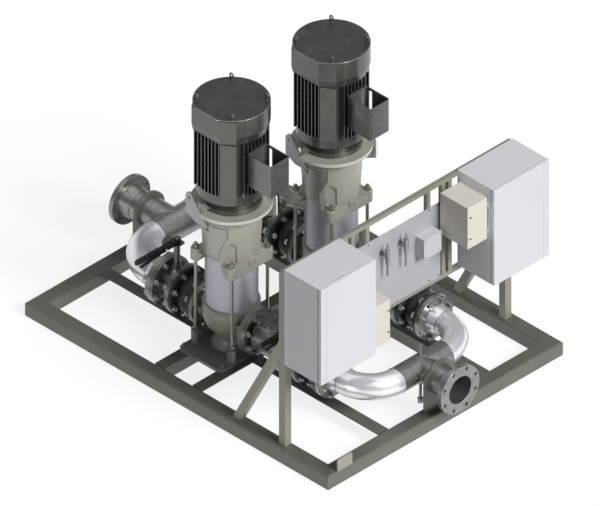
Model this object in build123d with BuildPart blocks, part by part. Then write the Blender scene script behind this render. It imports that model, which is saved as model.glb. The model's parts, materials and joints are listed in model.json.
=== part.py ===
"""Feed pump skid: two vertical in-line pumps between a suction and a discharge header.

Millimetres. +X is the flow direction, +Z is up, and the origin is the centre of the
base frame on the floor. The two pump lines are copies of each other at -Y and +Y.
"""

from collections import namedtuple
from math import sqrt
import os

from build123d import *

os.makedirs("parts", exist_ok=True)

# Fits and gaps
RUNNING_FIT = 0.05
WELD_GAP = 0.3
SEAT_GAP = 0.3
SLIP = 0.4
WELD_CLEARANCE = 3.0
CUT = 1.0

# Base frame
FRAME_LENGTH = 2210.0
FRAME_WIDTH = 1712.0
TUBE = 88.9
TUBE_WALL = 6.4
TUBE_CORNER = 10.0
ANGLE_LEG = 74.0
ANGLE_THICKNESS = 6.0
CROSS_ANGLE_X = (-247.0, 28.0)
LONG_ANGLE_Y = 330.0
EARTH_PLATE_Y = (-787.0, -680.0)
EARTH_PLATE_RISE = 71.0
EARTH_PLATE_THICKNESS = 6.0

# Pipework
PORT_Z = 265.0
LINE_Y = 364.0
SKID_FLANGE_X = 1212.0
PipeSize = namedtuple("PipeSize", "pipe bore flange thick neck bend pcd hub")
SIX_INCH = PipeSize(168.3, 161.5, 279.4, 25.4, 88.9, 228.6, 241.3, 192.0)
FIVE_INCH = PipeSize(141.3, 134.5, 254.0, 23.9, 88.9, 190.5, 215.9, 164.0)
BOLT_HOLE = 22.2
FLANGE_HOLES = 8
REDUCER_LENGTH = 45.0
TEE_STEP = 0.3
SUPPORT_SETBACK = 46.0
SUPPORT_THICKNESS = 15.0
SUPPORT_MARGIN = 26.0
VENT_RADIUS = 9.0
VENT_TOP = 415.0
DRAIN_BOTTOM = 45.0
DRAIN_CAP_RADIUS = 15.0
DRAIN_CAP_HEIGHT = 28.0

# Butterfly valves
VALVE_LENGTH = 140.0
VALVE_SHELL = 16.0
SEAT_RADIUS = {"suction": 75.0, "discharge": 62.0}
LEVER_Z = {"suction": 551.0, "discharge": 485.0}
STEM_RADIUS = 9.0
STEM_RISE = 26.0
NECK_RADIUS = 17.0
NECK_FOOT_RADIUS = 26.0
LOWER_BOSS_RADIUS = 24.0
PLATE_THICKNESS = 6.0
PLATE_RADIUS = 78.0
PLATE_PAD = 64.0
PLATE_MARGIN = 14.0
PLATE_BELOW_LEVER = 22.0
NOTCHES = 10
NOTCH_WIDTH = 5.0
NOTCH_DEPTH = 4.0
DISC_GAP = 0.35
DISC_RIM = 5.0
DISC_HUB = 18.0
LEVER_LENGTH = 305.0
LEVER_WIDTH = 24.0
LEVER_DEPTH = 16.0
LEVER_RISE = 8.0
LEVER_HUB_RADIUS = 20.0
LEVER_HUB_HEIGHT = 26.0
GRIP_RIBS = 9
GRIP_RIB_PITCH = 17.0
GRIP_START = 140.0
TRIGGER_PIVOT = 104.0
TRIGGER_PIN_RADIUS = 3.0
TRIGGER_PIN_DROP = 3.0
TRIGGER_DROP = 24.0
TRIGGER_WIDTH = 16.0
TRIGGER_EAR = 4.0

# Check valves, with X counted from the inlet face
CHECK_LENGTH = 253.0
CHECK_CHAMBER = 84.0
CHECK_SHELL = 10.0
CHECK_SEAT_X = 52.0
CHECK_CHAMBER_LENGTH = 150.0
CHECK_NECK_RADIUS = 82.0
CHECK_COVER_RADIUS = 96.0
CHECK_COVER_Z = 118.0
CHECK_COVER_THICKNESS = 16.0
CHECK_RIB = 12.0
CHECK_HINGE_X = 64.0
CHECK_HINGE_Z = 74.0
CHECK_PIN_RADIUS = 5.0
FLAP_RADIUS = 70.0
FLAP_THICKNESS = 8.0
FLAP_ARM = 24.0

# Flexible connectors
SUCTION_CONNECTOR = 138.0
DISCHARGE_CONNECTOR = 150.0
CONNECTOR_RING = 20.0
CONNECTOR_RUBBER = 9.0
CONNECTOR_ARCH = 30.0
CONNECTOR_COLLAR = 3.0

# Pump
PUMP_X = -91.0
SLEEVE_RADIUS = 139.0
SLEEVE_WALL = 4.0
SLEEVE_BOTTOM = 375.0
SLEEVE_TOP = 700.0
TIE_ROD_OFFSET = 46.0
TIE_ROD_RADIUS = 9.0
TIE_ROD_NUT = 17.0
TIE_ROD_END = 12.0
PORT_REACH = 51.0
PORT_NECK_RADIUS = 84.0
FOOT_MARGIN = 27.2
FOOT_Y = 235.0
FOOT_THICKNESS = 20.0
FOOT_CORNER = 30.0
FOOT_BOLT_INSET = (18.0, 30.0)
FOOT_BOLT_RADIUS = 7.0
COLUMN_RADIUS = 25.0
COLUMN_TOP = 185.0
ROD_SOCKET = 30.0
BASE_RIM = 12.0
BASE_RIM_HEIGHT = 22.0
BASE_WAIST = 78.0
BASE_WAIST_Z = (165.0, 182.0)
BASE_FLARE = 112.0
PORT_WEB = 18.0
STAGE_COUNT = 4
STAGE_GAP = 21.0
STAGE_PITCH = 70.0
STAGE_FLOOR = 8.0
STAGE_WALL = 6.0
STAGE_EYE = 60.0
IMPELLER_RADIUS = 92.0
IMPELLER_EYE = 52.0
IMPELLER_HEIGHT = 36.0
IMPELLER_HUB = 28.0
IMPELLER_SHROUD = 4.0
IMPELLER_LIFT = 12.0
IMPELLER_BLADES = 6
PUMP_SHAFT_RADIUS = 16.0
MOTOR_SHAFT_RADIUS = 24.0
SHAFT_MEETING = 800.0
COUPLING_Z = (742.0, 872.0)
COUPLING_RADIUS = 46.0
COUPLING_COLLAR = 8.0
COUPLING_COLLAR_Z = (785.0, 835.0)

# Motor stool
STOOL_BOTTOM = 633.0
STOOL_TOP = 1004.0
STOOL_SPREAD = (11.0, 23.0)
STOOL_WALL = 20.0
STOOL_FLOOR = 22.0
STOOL_FLANGE_RADIUS = 216.0
STOOL_FLANGE_THICKNESS = 19.0
STOOL_MOUTH_RADIUS = 116.0
SKIRT_HEIGHT = 57.0
SKIRT_TAPER = 8.0
LOBE_RADIUS = 27.0
LOBE_ROUND = 4.0
POCKET_HALF_WIDTH = 28.0
POCKET_TOP = 825.0
POCKET_DEPTH = 8.0
ARCH_HALF_WIDTH = (100.0, 59.0)
WINDOW = (96.0, 108.0, 20.0)
WINDOW_Z = 804.0
PLUG_RADIUS = 23.5
PLUG_Z = 687.0
PLUG_RISE = 9.0
PLUG_SOCKET = 14.0
LUG_OUT = 11.0
LUG_THICKNESS = 12.0
LUG_OUTLINE = ((126, 1022), (84, 962), (20, 890), (20, 880), (110, 880), (180, 915), (180, 1018))
LUG_CROWN = (153, 1044)
LUG_HOLE = (153, 1012)
LUG_HOLE_RADIUS = 10.0
LUG_FLAT_START = 16.0
LUG_FLAT_Z = 870.0
GUARD_RECESS = 4.0
GUARD_THICKNESS = 2.5
GUARD_HALF_WIDTH = (52.0, 94.0)
GUARD_BEND_Z = (765.0, 860.0)
GUARD_Z = (722.0, 912.0)
GUARD_RECESS_TOP = 936.0
GUARD_MARGIN = 3.0
GUARD_CORNER = 10.0

# Motor
MOTOR_FLANGE_RADIUS = 161.0
MOTOR_FLANGE_HEIGHT = 26.0
SHIELD_WAIST = 150.0
SHIELD_RADIUS = 186.0
SHIELD_SHOULDER_Z = 1084.0
SHIELD_TOP = 1141.0
FIN_TOP = 1482.0
CORE_HALF = 150.0
CORE_CORNER = 48.0
FIN_REACH = 184.0
FIN_PITCH = 25.6
FIN_THICKNESS = 6.0
FINS_PER_SIDE = 8
STATOR_BORE = 112.0
FOOT_PAD = ((98.0, -184.0), (171.0, -136.0))
TERMINAL_PAD_Y = (-28.0, 75.0)
ROTOR_RADIUS = 105.0
FAN_RADIUS = 150.0
FAN_HUB_RADIUS = 40.0
FAN_BLADES = 8
FAN_HEIGHT = 50.0
FAN_LIFT = 22.0
COWL_TOP = 1633.0
COWL_RADIUS = 203.0
COWL_FLAT = 188.0
COWL_FLAT_X = (-105.0, 98.0)
COWL_SHOULDER = (-130.0, -155.0)
COWL_PAD_END = (183.0, -85.0)
COWL_WALL = 3.0
COWL_ROOF = 8.0
COWL_LIP_TOP = 1524.0
COWL_LIP_INSET = 7.0
COWL_DISC_RADIUS = 198.0
COWL_DISC_RISE = 3.0
COWL_POST = 118.0
COWL_POST_RADIUS = 8.0
EYEBOLT_CIRCLE = 182.0
EYEBOLT_COLLAR = (11.0, 6.0)
EYEBOLT_RING = 11.5
EYEBOLT_BAR = 4.5
TERMINAL_BOX_X = 356.0
TERMINAL_BOX_Y = 71.0
TERMINAL_BOX_Z = (1215.0, 1411.0)
TERMINAL_BOX_WALL = 6.0
TERMINAL_BOX_CORNER = 14.0
TERMINAL_SLOT = (206.0, 230.0, 1262.0, 1396.0)

# Instrument rack and enclosures
RACK_X = 760.0
RACK_INSET = 25.0
POST = 45.0
POST_WALL = 3.0
POST_INSET = 6.0
RAIL = 25.0
TOP_RAIL_Z = 1176.0
LOW_RAIL_Z = 581.0
STRUT_Y = (222.0, 330.0, 378.0)
BRACE_FOOT_X = 375.0
BRACE_TOP_Z = 740.0
BRACE_WIDTH = 45.0
PANEL_HALF_WIDTH = 304.0
PANEL_Z = (606.0, 1079.0)
PANEL_THICKNESS = 3.0
CABINET_WIDTH = 400.0
CABINET_DEPTH = 268.0
CABINET_Z = (613.0, 1213.0)
CABINET_WALL = 2.0
DOOR_DEPTH = 20.0
DOOR_SHOULDER = 6.0
DOOR_GROOVE_INSET = 39.0
DOOR_GROOVE = (2.0, 0.8)
NECK_INSET = 15.0
NECK_SETBACK = 9.0
HINGE_INSET = 7.0
HINGE_BACK = 5.0
HINGE_FROM_END = 80.0
HINGE_PIN_RADIUS = 3.0
HINGE_BRACKET = (4.0, 12.0)
HINGE_BRACKET_ROUND = 4.2
HINGE_BARREL = (5.0, 14.0)
HINGE_PIN_HEIGHT = 16.0
HINGE_LIFT = 0.5
CONTROL_BOX_WIDTH = 148.0
CONTROL_BOX_DEPTH = 200.0
CONTROL_BOX_HEIGHT = 258.0
CONTROL_BOX_WALL = 3.0
CONTROL_BOX_BOTTOM = {"left": 609.0, "right": 895.0}
CONTROL_BOX_STANDOFF = 23.0
COVER_THICKNESS = 10.0
COVER_GAP = 0.5
COVER_HINGE_OUT = 4.0
COVER_HINGE_SIDE = 4.0
COVER_BARREL = 3.5
COVER_PIN = 1.8
COVER_HINGE_Z = (40.0, 60.0)
COVER_HINGE_HEIGHT = 12.0
COVER_SCREW_Z = 62.0
COVER_SCREW_INSET = 16.0
COVER_SCREW_RADIUS = 5.0
JUNCTION_BOX_Y = (122.0, 248.0)
JUNCTION_BOX_Z = (830.0, 953.0)
JUNCTION_BOX_DEPTH = 67.0
JUNCTION_LID = 8.0
JUNCTION_ROUND = 3.0
TRANSMITTER_Y = (-122.0, 12.0)
TRANSMITTER_Z = 933.0
TRANSMITTER_STANDOFF = 42.0
TRANSMITTER_SECTIONS = (
    (6.0, -90.0, -22.0),
    (9.0, -22.0, 0.0),
    (13.0, 0.0, 74.0),
    (8.0, 74.0, 92.0),
    (4.0, 92.0, 112.0),
)

# Places that follow from the sizes above
LINES = {"left": -1, "right": 1}
PORT_FACE = SLEEVE_RADIUS + PORT_REACH
TIE_ROD_CIRCLE = SLEEVE_RADIUS + TIE_ROD_OFFSET
STAGE_RADIUS = SLEEVE_RADIUS - STAGE_GAP
LUG_Y = SLEEVE_RADIUS + LUG_OUT
SUPPORT_X = FRAME_LENGTH / 2 - SUPPORT_SETBACK
RACK_HALF_WIDTH = FRAME_WIDTH / 2 - RACK_INSET
POST_INNER = RACK_HALF_WIDTH - POST_INSET - POST
PUMP_INLET = PUMP_X - PORT_FACE
PUMP_OUTLET = PUMP_X + PORT_FACE
SUCTION_VALVE_X = PUMP_INLET - SUCTION_CONNECTOR - VALVE_LENGTH / 2
SUCTION_HEADER_FACE = SUCTION_VALVE_X - VALVE_LENGTH / 2
SUCTION_HEADER_X = SUCTION_HEADER_FACE - SIX_INCH.neck - SIX_INCH.bend
DISCHARGE_VALVE_X = PUMP_OUTLET + CHECK_LENGTH + VALVE_LENGTH / 2
DISCHARGE_CONNECTOR_X = DISCHARGE_VALVE_X + VALVE_LENGTH / 2
DISCHARGE_HEADER_FACE = DISCHARGE_CONNECTOR_X + DISCHARGE_CONNECTOR
DISCHARGE_HEADER_X = DISCHARGE_HEADER_FACE + FIVE_INCH.neck + FIVE_INCH.bend
CABINET_FRONT = RACK_X + CABINET_DEPTH
CABINET_INNER = RACK_HALF_WIDTH - CABINET_WIDTH
CONTROL_BOX_BACK = RACK_X + CONTROL_BOX_STANDOFF
FLANGE_BOTTOM = STOOL_TOP - STOOL_FLANGE_THICKNESS
VALVE_PIPE = {"suction": SIX_INCH, "discharge": FIVE_INCH}
VALVE_X = {"suction": SUCTION_VALVE_X, "discharge": DISCHARGE_VALVE_X}
VALVE_OPENS = {"suction": -1, "discharge": 1}


def block(low, high, mode=Mode.ADD):
    """Box between two corners, in the part being built."""
    centre = [(a + b) / 2 for a, b in zip(low, high)]
    size = [b - a for a, b in zip(low, high)]
    with Locations(tuple(centre)):
        Box(*size, mode=mode)


def disc_x(radius, start, end, y=0.0, z=0.0, mode=Mode.ADD):
    """Round bar or bore along X."""
    with Locations(((start + end) / 2, y, z)):
        Cylinder(radius, end - start, rotation=(0, 90, 0), mode=mode)


def disc_y(radius, start, end, x=0.0, z=0.0, mode=Mode.ADD):
    """Round bar or bore along Y."""
    with Locations((x, (start + end) / 2, z)):
        Cylinder(radius, end - start, rotation=(90, 0, 0), mode=mode)


def disc_z(radius, start, end, x=0.0, y=0.0, mode=Mode.ADD):
    """Round bar or bore along Z."""
    with Locations((x, y, (start + end) / 2)):
        Cylinder(radius, end - start, mode=mode)


def taper_x(radius_start, radius_end, start, end, y=0.0, z=0.0, mode=Mode.ADD):
    """Conical hub or bore along X."""
    with Locations(((start + end) / 2, y, z)):
        Cone(radius_start, radius_end, end - start, rotation=(0, 90, 0), mode=mode)


def diagonals(radius):
    """The four places on a circle that lie on the diagonals."""
    return PolarLocations(radius, 4, start_angle=45)


def write(piece, name, place=Location()):
    """Label a finished piece, put it in its place and write its file."""
    part = piece.part.moved(place)
    part.label = name
    export_step(part, f"parts/{name}.step")


# Base frame of mitred square tube
def square_tube(length, plane):
    """Hollow square tube centred on a plane's origin and running along its normal."""
    inner = TUBE - 2 * TUBE_WALL
    with BuildPart() as tube:
        with BuildSketch(plane.offset(-length / 2)):
            RectangleRounded(TUBE, TUBE, TUBE_CORNER)
            RectangleRounded(inner, inner, TUBE_CORNER - TUBE_WALL, mode=Mode.SUBTRACT)
        extrude(amount=length)
    return tube


def side_zone():
    """The space of the two side rails, cut by the mitres at the corners."""
    half_x = FRAME_LENGTH / 2
    half_y = FRAME_WIDTH / 2
    with BuildPart() as zone:
        for sign in LINES.values():
            with BuildSketch():
                with BuildLine():
                    Polyline(
                        (-half_x, sign * half_y),
                        (half_x, sign * half_y),
                        (half_x - TUBE, sign * (half_y - TUBE)),
                        (-half_x + TUBE, sign * (half_y - TUBE)),
                        close=True,
                    )
                make_face()
            extrude(amount=TUBE)
    return zone


def side_rails():
    """Two side rails of the base frame."""
    plane = Plane(origin=(0, 0, TUBE / 2), x_dir=(0, 1, 0), z_dir=(1, 0, 0))
    tube = square_tube(FRAME_LENGTH, plane)
    zone = side_zone()
    with BuildPart() as rails:
        with GridLocations(0, FRAME_WIDTH - TUBE, 1, 2):
            add(tube.part)
        add(zone.part, mode=Mode.INTERSECT)
    return rails


def end_members():
    """Two end members of the base frame, one with an upright earthing plate."""
    plane = Plane(origin=(0, 0, TUBE / 2), x_dir=(1, 0, 0), z_dir=(0, 1, 0))
    tube = square_tube(FRAME_WIDTH, plane)
    zone = side_zone()
    half_x = FRAME_LENGTH / 2
    low_y, high_y = EARTH_PLATE_Y
    with BuildPart() as members:
        with GridLocations(FRAME_LENGTH - TUBE, 0, 2, 1):
            add(tube.part)
        add(zone.part, mode=Mode.SUBTRACT)
        block(
            (half_x - EARTH_PLATE_THICKNESS, low_y, TUBE - TUBE_CORNER),
            (half_x, high_y, TUBE + EARTH_PLATE_RISE),
        )
    return members


def angle_profile(plane, leg_sign):
    """Sketch of an angle section with its flat leg on top."""
    with BuildSketch(plane) as section:
        with BuildLine():
            Polyline(
                (0, 0),
                (leg_sign * ANGLE_LEG, 0),
                (leg_sign * ANGLE_LEG, -ANGLE_THICKNESS),
                (leg_sign * ANGLE_THICKNESS, -ANGLE_THICKNESS),
                (leg_sign * ANGLE_THICKNESS, -ANGLE_LEG),
                (0, -ANGLE_LEG),
                close=True,
            )
        make_face()
    return section


def inner_angles():
    """Angles welded inside the frame: two across it and six between them along it."""
    inner_x = FRAME_LENGTH / 2 - TUBE - WELD_GAP
    inner_y = FRAME_WIDTH / 2 - TUBE - WELD_GAP
    first, second = CROSS_ANGLE_X
    spans = [
        (-inner_x, first - WELD_GAP),
        (first + ANGLE_LEG + WELD_GAP, second - WELD_GAP),
        (second + ANGLE_LEG + WELD_GAP, inner_x),
    ]
    with BuildPart() as angles:
        for start, leg in ((first + ANGLE_LEG, -1), (second, 1)):
            plane = Plane(origin=(start, inner_y, TUBE), x_dir=(1, 0, 0), z_dir=(0, -1, 0))
            section = angle_profile(plane, leg)
            extrude(section.sketch, amount=2 * inner_y)
        for sign in LINES.values():
            for low, high in spans:
                plane = Plane(origin=(low, sign * LONG_ANGLE_Y, TUBE), x_dir=(0, 1, 0), z_dir=(1, 0, 0))
                section = angle_profile(plane, sign)
                extrude(section.sketch, amount=high - low)
    return angles


# Headers
def weld_neck(size, face, inward, y=0.0, z=0.0):
    """Solid weld neck flange on the X axis: its face, and +1 or -1 towards the pipe."""
    back = face + inward * size.thick
    end = face + inward * size.neck
    disc_x(size.flange / 2, min(face, back), max(face, back), y, z)
    if inward > 0:
        taper_x(size.hub / 2, size.pipe / 2, back, end, y, z)
    else:
        taper_x(size.pipe / 2, size.hub / 2, end, back, y, z)


def flange_holes(size, start, end):
    """Bolt holes of a free flange, straddling the centre lines."""
    with Locations(Plane.YZ.offset(start)):
        with PolarLocations(size.pcd / 2, FLANGE_HOLES, start_angle=180 / FLANGE_HOLES):
            Cylinder(
                BOLT_HOLE / 2,
                end - start,
                align=(Align.CENTER, Align.CENTER, Align.MIN),
                mode=Mode.SUBTRACT,
            )


def header_run(size, centre, face, radius):
    """Round bar along a header's route, from one line's face through both elbows to the other."""
    toward = 1 if face > centre else -1
    elbow_x = centre + toward * size.bend
    straight = LINE_Y - size.bend
    low, high = sorted((elbow_x, face))
    with BuildPart() as run:
        for side in LINES.values():
            disc_x(radius, low, high, side * LINE_Y, PORT_Z)
            with BuildSketch(Plane(origin=(elbow_x, side * LINE_Y, PORT_Z), z_dir=(1, 0, 0))):
                Circle(radius)
            revolve(axis=Axis((elbow_x, side * straight, PORT_Z), (0, 0, toward * side)), revolution_arc=90)
        disc_y(radius, -straight, straight, centre, PORT_Z)
    return run


def suction_header():
    """Inlet flange, tee, two elbows and the flanges of both suction lines."""
    size = SIX_INCH
    route = (size, SUCTION_HEADER_X, SUCTION_HEADER_FACE)
    outer = header_run(*route, size.pipe / 2)
    inner = header_run(*route, size.bore / 2)
    with BuildPart() as piece:
        add(outer.part)
        disc_x(size.pipe / 2 - TEE_STEP, -SKID_FLANGE_X + size.neck, SUCTION_HEADER_X, z=PORT_Z)
        weld_neck(size, -SKID_FLANGE_X, 1, z=PORT_Z)
        for side in LINES.values():
            weld_neck(size, SUCTION_HEADER_FACE, -1, side * LINE_Y, PORT_Z)
        add(inner.part, mode=Mode.SUBTRACT)
        disc_x(size.bore / 2 - TEE_STEP, -SKID_FLANGE_X, SUCTION_HEADER_X, z=PORT_Z, mode=Mode.SUBTRACT)
        with Locations((0, 0, PORT_Z)):
            flange_holes(size, -SKID_FLANGE_X, -SKID_FLANGE_X + size.thick)
    return piece


def discharge_header():
    """Flanges of both discharge lines, two elbows, tee, reducer, outlet flange, vent and drain."""
    size = FIVE_INCH
    outlet = SIX_INCH
    branch = size.pipe / 2 - TEE_STEP
    branch_bore = size.bore / 2 - TEE_STEP
    reducer_end = SUPPORT_X - SUPPORT_THICKNESS / 2 - WELD_CLEARANCE
    reducer_start = reducer_end - REDUCER_LENGTH
    route = (size, DISCHARGE_HEADER_X, DISCHARGE_HEADER_FACE)
    outer = header_run(*route, size.pipe / 2)
    inner = header_run(*route, size.bore / 2)
    with BuildPart() as piece:
        add(outer.part)
        disc_x(branch, DISCHARGE_HEADER_X, reducer_start, z=PORT_Z)
        taper_x(branch, outlet.pipe / 2, reducer_start, reducer_end, z=PORT_Z)
        disc_x(outlet.pipe / 2, reducer_end, SKID_FLANGE_X - outlet.neck, z=PORT_Z)
        weld_neck(outlet, SKID_FLANGE_X, -1, z=PORT_Z)
        for side in LINES.values():
            weld_neck(size, DISCHARGE_HEADER_FACE, 1, side * LINE_Y, PORT_Z)
        disc_z(VENT_RADIUS, DRAIN_BOTTOM, VENT_TOP, DISCHARGE_HEADER_X)
        disc_z(DRAIN_CAP_RADIUS, DRAIN_BOTTOM, DRAIN_BOTTOM + DRAIN_CAP_HEIGHT, DISCHARGE_HEADER_X)
        add(inner.part, mode=Mode.SUBTRACT)
        disc_x(branch_bore, DISCHARGE_HEADER_X, reducer_start, z=PORT_Z, mode=Mode.SUBTRACT)
        taper_x(branch_bore, outlet.bore / 2, reducer_start, reducer_end, z=PORT_Z, mode=Mode.SUBTRACT)
        disc_x(outlet.bore / 2, reducer_end, SKID_FLANGE_X, z=PORT_Z, mode=Mode.SUBTRACT)
        with Locations((0, 0, PORT_Z)):
            flange_holes(outlet, SKID_FLANGE_X - outlet.thick, SKID_FLANGE_X)
    return piece


def pipe_supports():
    """Arch-topped plates on the end members, each with a hole for the pipe."""
    radius = SIX_INCH.pipe / 2 + SUPPORT_MARGIN
    with BuildPart() as plates:
        for sign in (-1, 1):
            with BuildSketch(Plane.YZ.offset(sign * SUPPORT_X - SUPPORT_THICKNESS / 2)):
                with BuildLine():
                    Line((radius, TUBE), (radius, PORT_Z))
                    ThreePointArc((radius, PORT_Z), (0, PORT_Z + radius), (-radius, PORT_Z))
                    Polyline((-radius, PORT_Z), (-radius, TUBE), (radius, TUBE))
                make_face()
                with Locations((0, PORT_Z)):
                    Circle(SIX_INCH.pipe / 2 + SLIP, mode=Mode.SUBTRACT)
            extrude(amount=SUPPORT_THICKNESS)
    return plates


# Butterfly valves, each round its own centre on the pipe axis
def plate_top(kind):
    """Height of the notched plate's top above the pipe axis."""
    return LEVER_Z[kind] - PLATE_BELOW_LEVER - PORT_Z


def notched_plate(opens):
    """Sketch of the quadrant plate, notched from the closed to the open position."""
    with BuildSketch() as plate:
        Circle(PLATE_RADIUS)
        start = -90 if opens > 0 else 180
        with PolarLocations(PLATE_RADIUS, NOTCHES, start_angle=start, angular_range=90, endpoint=True):
            Rectangle(2 * NOTCH_DEPTH, NOTCH_WIDTH, mode=Mode.SUBTRACT)
        reach = PLATE_RADIUS + PLATE_MARGIN
        with Locations((-opens * PLATE_MARGIN, PLATE_MARGIN)):
            corner = (Align.MIN if opens > 0 else Align.MAX, Align.MAX)
            Rectangle(reach, reach, align=corner, mode=Mode.INTERSECT)
        RectangleRounded(PLATE_PAD, PLATE_PAD, PLATE_MARGIN)
    return plate


def valve_body(kind):
    """Double-flanged butterfly valve body with its neck and notched plate."""
    size = VALVE_PIPE[kind]
    seat = SEAT_RADIUS[kind]
    shell = seat + VALVE_SHELL
    half = VALVE_LENGTH / 2
    top = plate_top(kind)
    plate = notched_plate(VALVE_OPENS[kind])
    with BuildPart() as body:
        disc_x(shell, -half, half)
        for start in (-half, half - size.thick):
            disc_x(size.flange / 2, start, start + size.thick)
        disc_z(NECK_FOOT_RADIUS, shell - VALVE_SHELL / 2, shell + NECK_FOOT_RADIUS)
        disc_z(NECK_RADIUS, shell, top - PLATE_THICKNESS)
        disc_z(LOWER_BOSS_RADIUS, -shell - STEM_RADIUS, -seat - CUT)
        extrude(plate.sketch.moved(Location((0, 0, top - PLATE_THICKNESS))), amount=PLATE_THICKNESS)
        disc_x(seat, -half, half, mode=Mode.SUBTRACT)
        disc_z(STEM_RADIUS + RUNNING_FIT, -shell - CUT, top, mode=Mode.SUBTRACT)
    return body


def valve_disc(kind):
    """Closing disc and its stem, in the closed position."""
    rim = SEAT_RADIUS[kind] - DISC_GAP
    half_rim = DISC_RIM / 2
    half_hub = DISC_HUB / 2
    hub_height = rim / 3
    with BuildPart() as disc:
        with BuildSketch(Plane.XZ):
            with BuildLine():
                Polyline(
                    (-half_hub, 0),
                    (-half_hub, hub_height),
                    (-half_rim, rim - DISC_RIM),
                    (-half_rim, rim),
                    (half_rim, rim),
                    (half_rim, rim - DISC_RIM),
                    (half_hub, hub_height),
                    (half_hub, 0),
                    close=True,
                )
            make_face()
        revolve(axis=Axis.X)
        disc_z(STEM_RADIUS + DISC_RIM, -rim + 2 * DISC_RIM, rim - 2 * DISC_RIM)
        disc_z(STEM_RADIUS, -SEAT_RADIUS[kind] - VALVE_SHELL, plate_top(kind) + STEM_RISE)
    return disc


def valve_lever():
    """Hand lever, pointing along -Y from the stem, with a ribbed grip."""
    half = LEVER_WIDTH / 2
    shoulder = half + TRIGGER_EAR
    grip = -LEVER_LENGTH + half
    outline = [(half, grip), (half, -GRIP_START), (shoulder, 0)]
    outline += [(-x, y) for x, y in reversed(outline)]
    with BuildPart() as lever:
        disc_z(LEVER_HUB_RADIUS, SEAT_GAP, LEVER_HUB_HEIGHT)
        with BuildSketch(Plane.XY.offset(LEVER_RISE)):
            with BuildLine():
                Polyline(*outline)
                ThreePointArc((-half, grip), (0, -LEVER_LENGTH), (half, grip))
            make_face()
        extrude(amount=LEVER_DEPTH)
        rib = 2.0
        for index in range(GRIP_RIBS):
            y = -GRIP_START - GRIP_RIB_PITCH * index
            block(
                (-half - rib, y - GRIP_RIB_PITCH / 2 + rib, LEVER_RISE - rib),
                (half + rib, y, LEVER_RISE + LEVER_DEPTH + rib),
            )
        disc_z(STEM_RADIUS + RUNNING_FIT, -CUT, LEVER_HUB_HEIGHT + CUT, mode=Mode.SUBTRACT)
        # Ears that carry the trigger's pin
        drop = TRIGGER_PIN_DROP + 2 * TRIGGER_PIN_RADIUS
        for sign in (-1, 1):
            near = sign * (TRIGGER_WIDTH / 2 + CUT)
            low, high = sorted((near, near + sign * TRIGGER_EAR))
            block((low, -TRIGGER_PIVOT - drop, -drop), (high, -TRIGGER_PIVOT + drop, LEVER_RISE + CUT))
        pin_end = TRIGGER_WIDTH / 2 + TRIGGER_EAR + 2 * CUT
        disc_x(TRIGGER_PIN_RADIUS, -pin_end, pin_end, -TRIGGER_PIVOT, -TRIGGER_PIN_DROP)
    return lever


def valve_trigger():
    """Squeeze trigger under the grip, on the lever's cross pin, its tooth just off the plate."""
    half = TRIGGER_WIDTH / 2
    tooth = -PLATE_RADIUS - 2 * CUT
    under = -PLATE_THICKNESS - 1.2
    with BuildPart() as trigger:
        with BuildSketch(Plane.YZ.offset(-half)):
            with BuildLine():
                Polyline(
                    (tooth, under),
                    (tooth, under - 4.8),
                    (-TRIGGER_PIVOT, under - 3.8),
                    (-LEVER_LENGTH + 40, -TRIGGER_DROP - 6),
                    (-LEVER_LENGTH + 34, -TRIGGER_DROP),
                    (-TRIGGER_PIVOT - 14, 4),
                    (-TRIGGER_PIVOT + 6, 4),
                    close=True,
                )
            make_face()
        extrude(amount=TRIGGER_WIDTH)
        bore = TRIGGER_PIN_RADIUS + RUNNING_FIT
        disc_x(bore, -half - CUT, half + CUT, -TRIGGER_PIVOT, -TRIGGER_PIN_DROP, Mode.SUBTRACT)
    return trigger


# Check valves
def check_valve_body():
    """Swing check valve body with a bolted cover and ribs to its flanges."""
    size = FIVE_INCH
    chamber_end = CHECK_SEAT_X + CHECK_CHAMBER_LENGTH
    middle = (CHECK_SEAT_X + chamber_end) / 2
    outer = CHECK_CHAMBER + CHECK_SHELL
    opening = FLAP_RADIUS - 2
    with BuildPart() as body:
        for start in (0, CHECK_LENGTH - size.thick):
            disc_x(size.flange / 2, start, start + size.thick)
        disc_x((size.pipe + CHECK_SHELL) / 2, 0, CHECK_LENGTH)
        disc_x(outer, CHECK_SEAT_X - CHECK_SHELL, chamber_end + CHECK_SHELL)
        disc_z(CHECK_NECK_RADIUS, 0, CHECK_COVER_Z, middle)
        block((0, -CHECK_RIB / 2, 0), (CHECK_LENGTH, CHECK_RIB / 2, outer + CHECK_RIB))
        disc_z(CHECK_COVER_RADIUS, CHECK_COVER_Z - CHECK_COVER_THICKNESS, CHECK_COVER_Z, middle)
        disc_z(CHECK_COVER_RADIUS, CHECK_COVER_Z, CHECK_COVER_Z + CHECK_COVER_THICKNESS, middle)
        disc_x(size.bore / 2, 0, CHECK_LENGTH, mode=Mode.SUBTRACT)
        disc_x(CHECK_CHAMBER, CHECK_SEAT_X, chamber_end, mode=Mode.SUBTRACT)
        disc_z(opening, 0, CHECK_COVER_Z, middle, mode=Mode.SUBTRACT)
        disc_y(CHECK_PIN_RADIUS, -CHECK_CHAMBER, CHECK_CHAMBER, CHECK_HINGE_X, CHECK_HINGE_Z)
    return body


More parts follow.
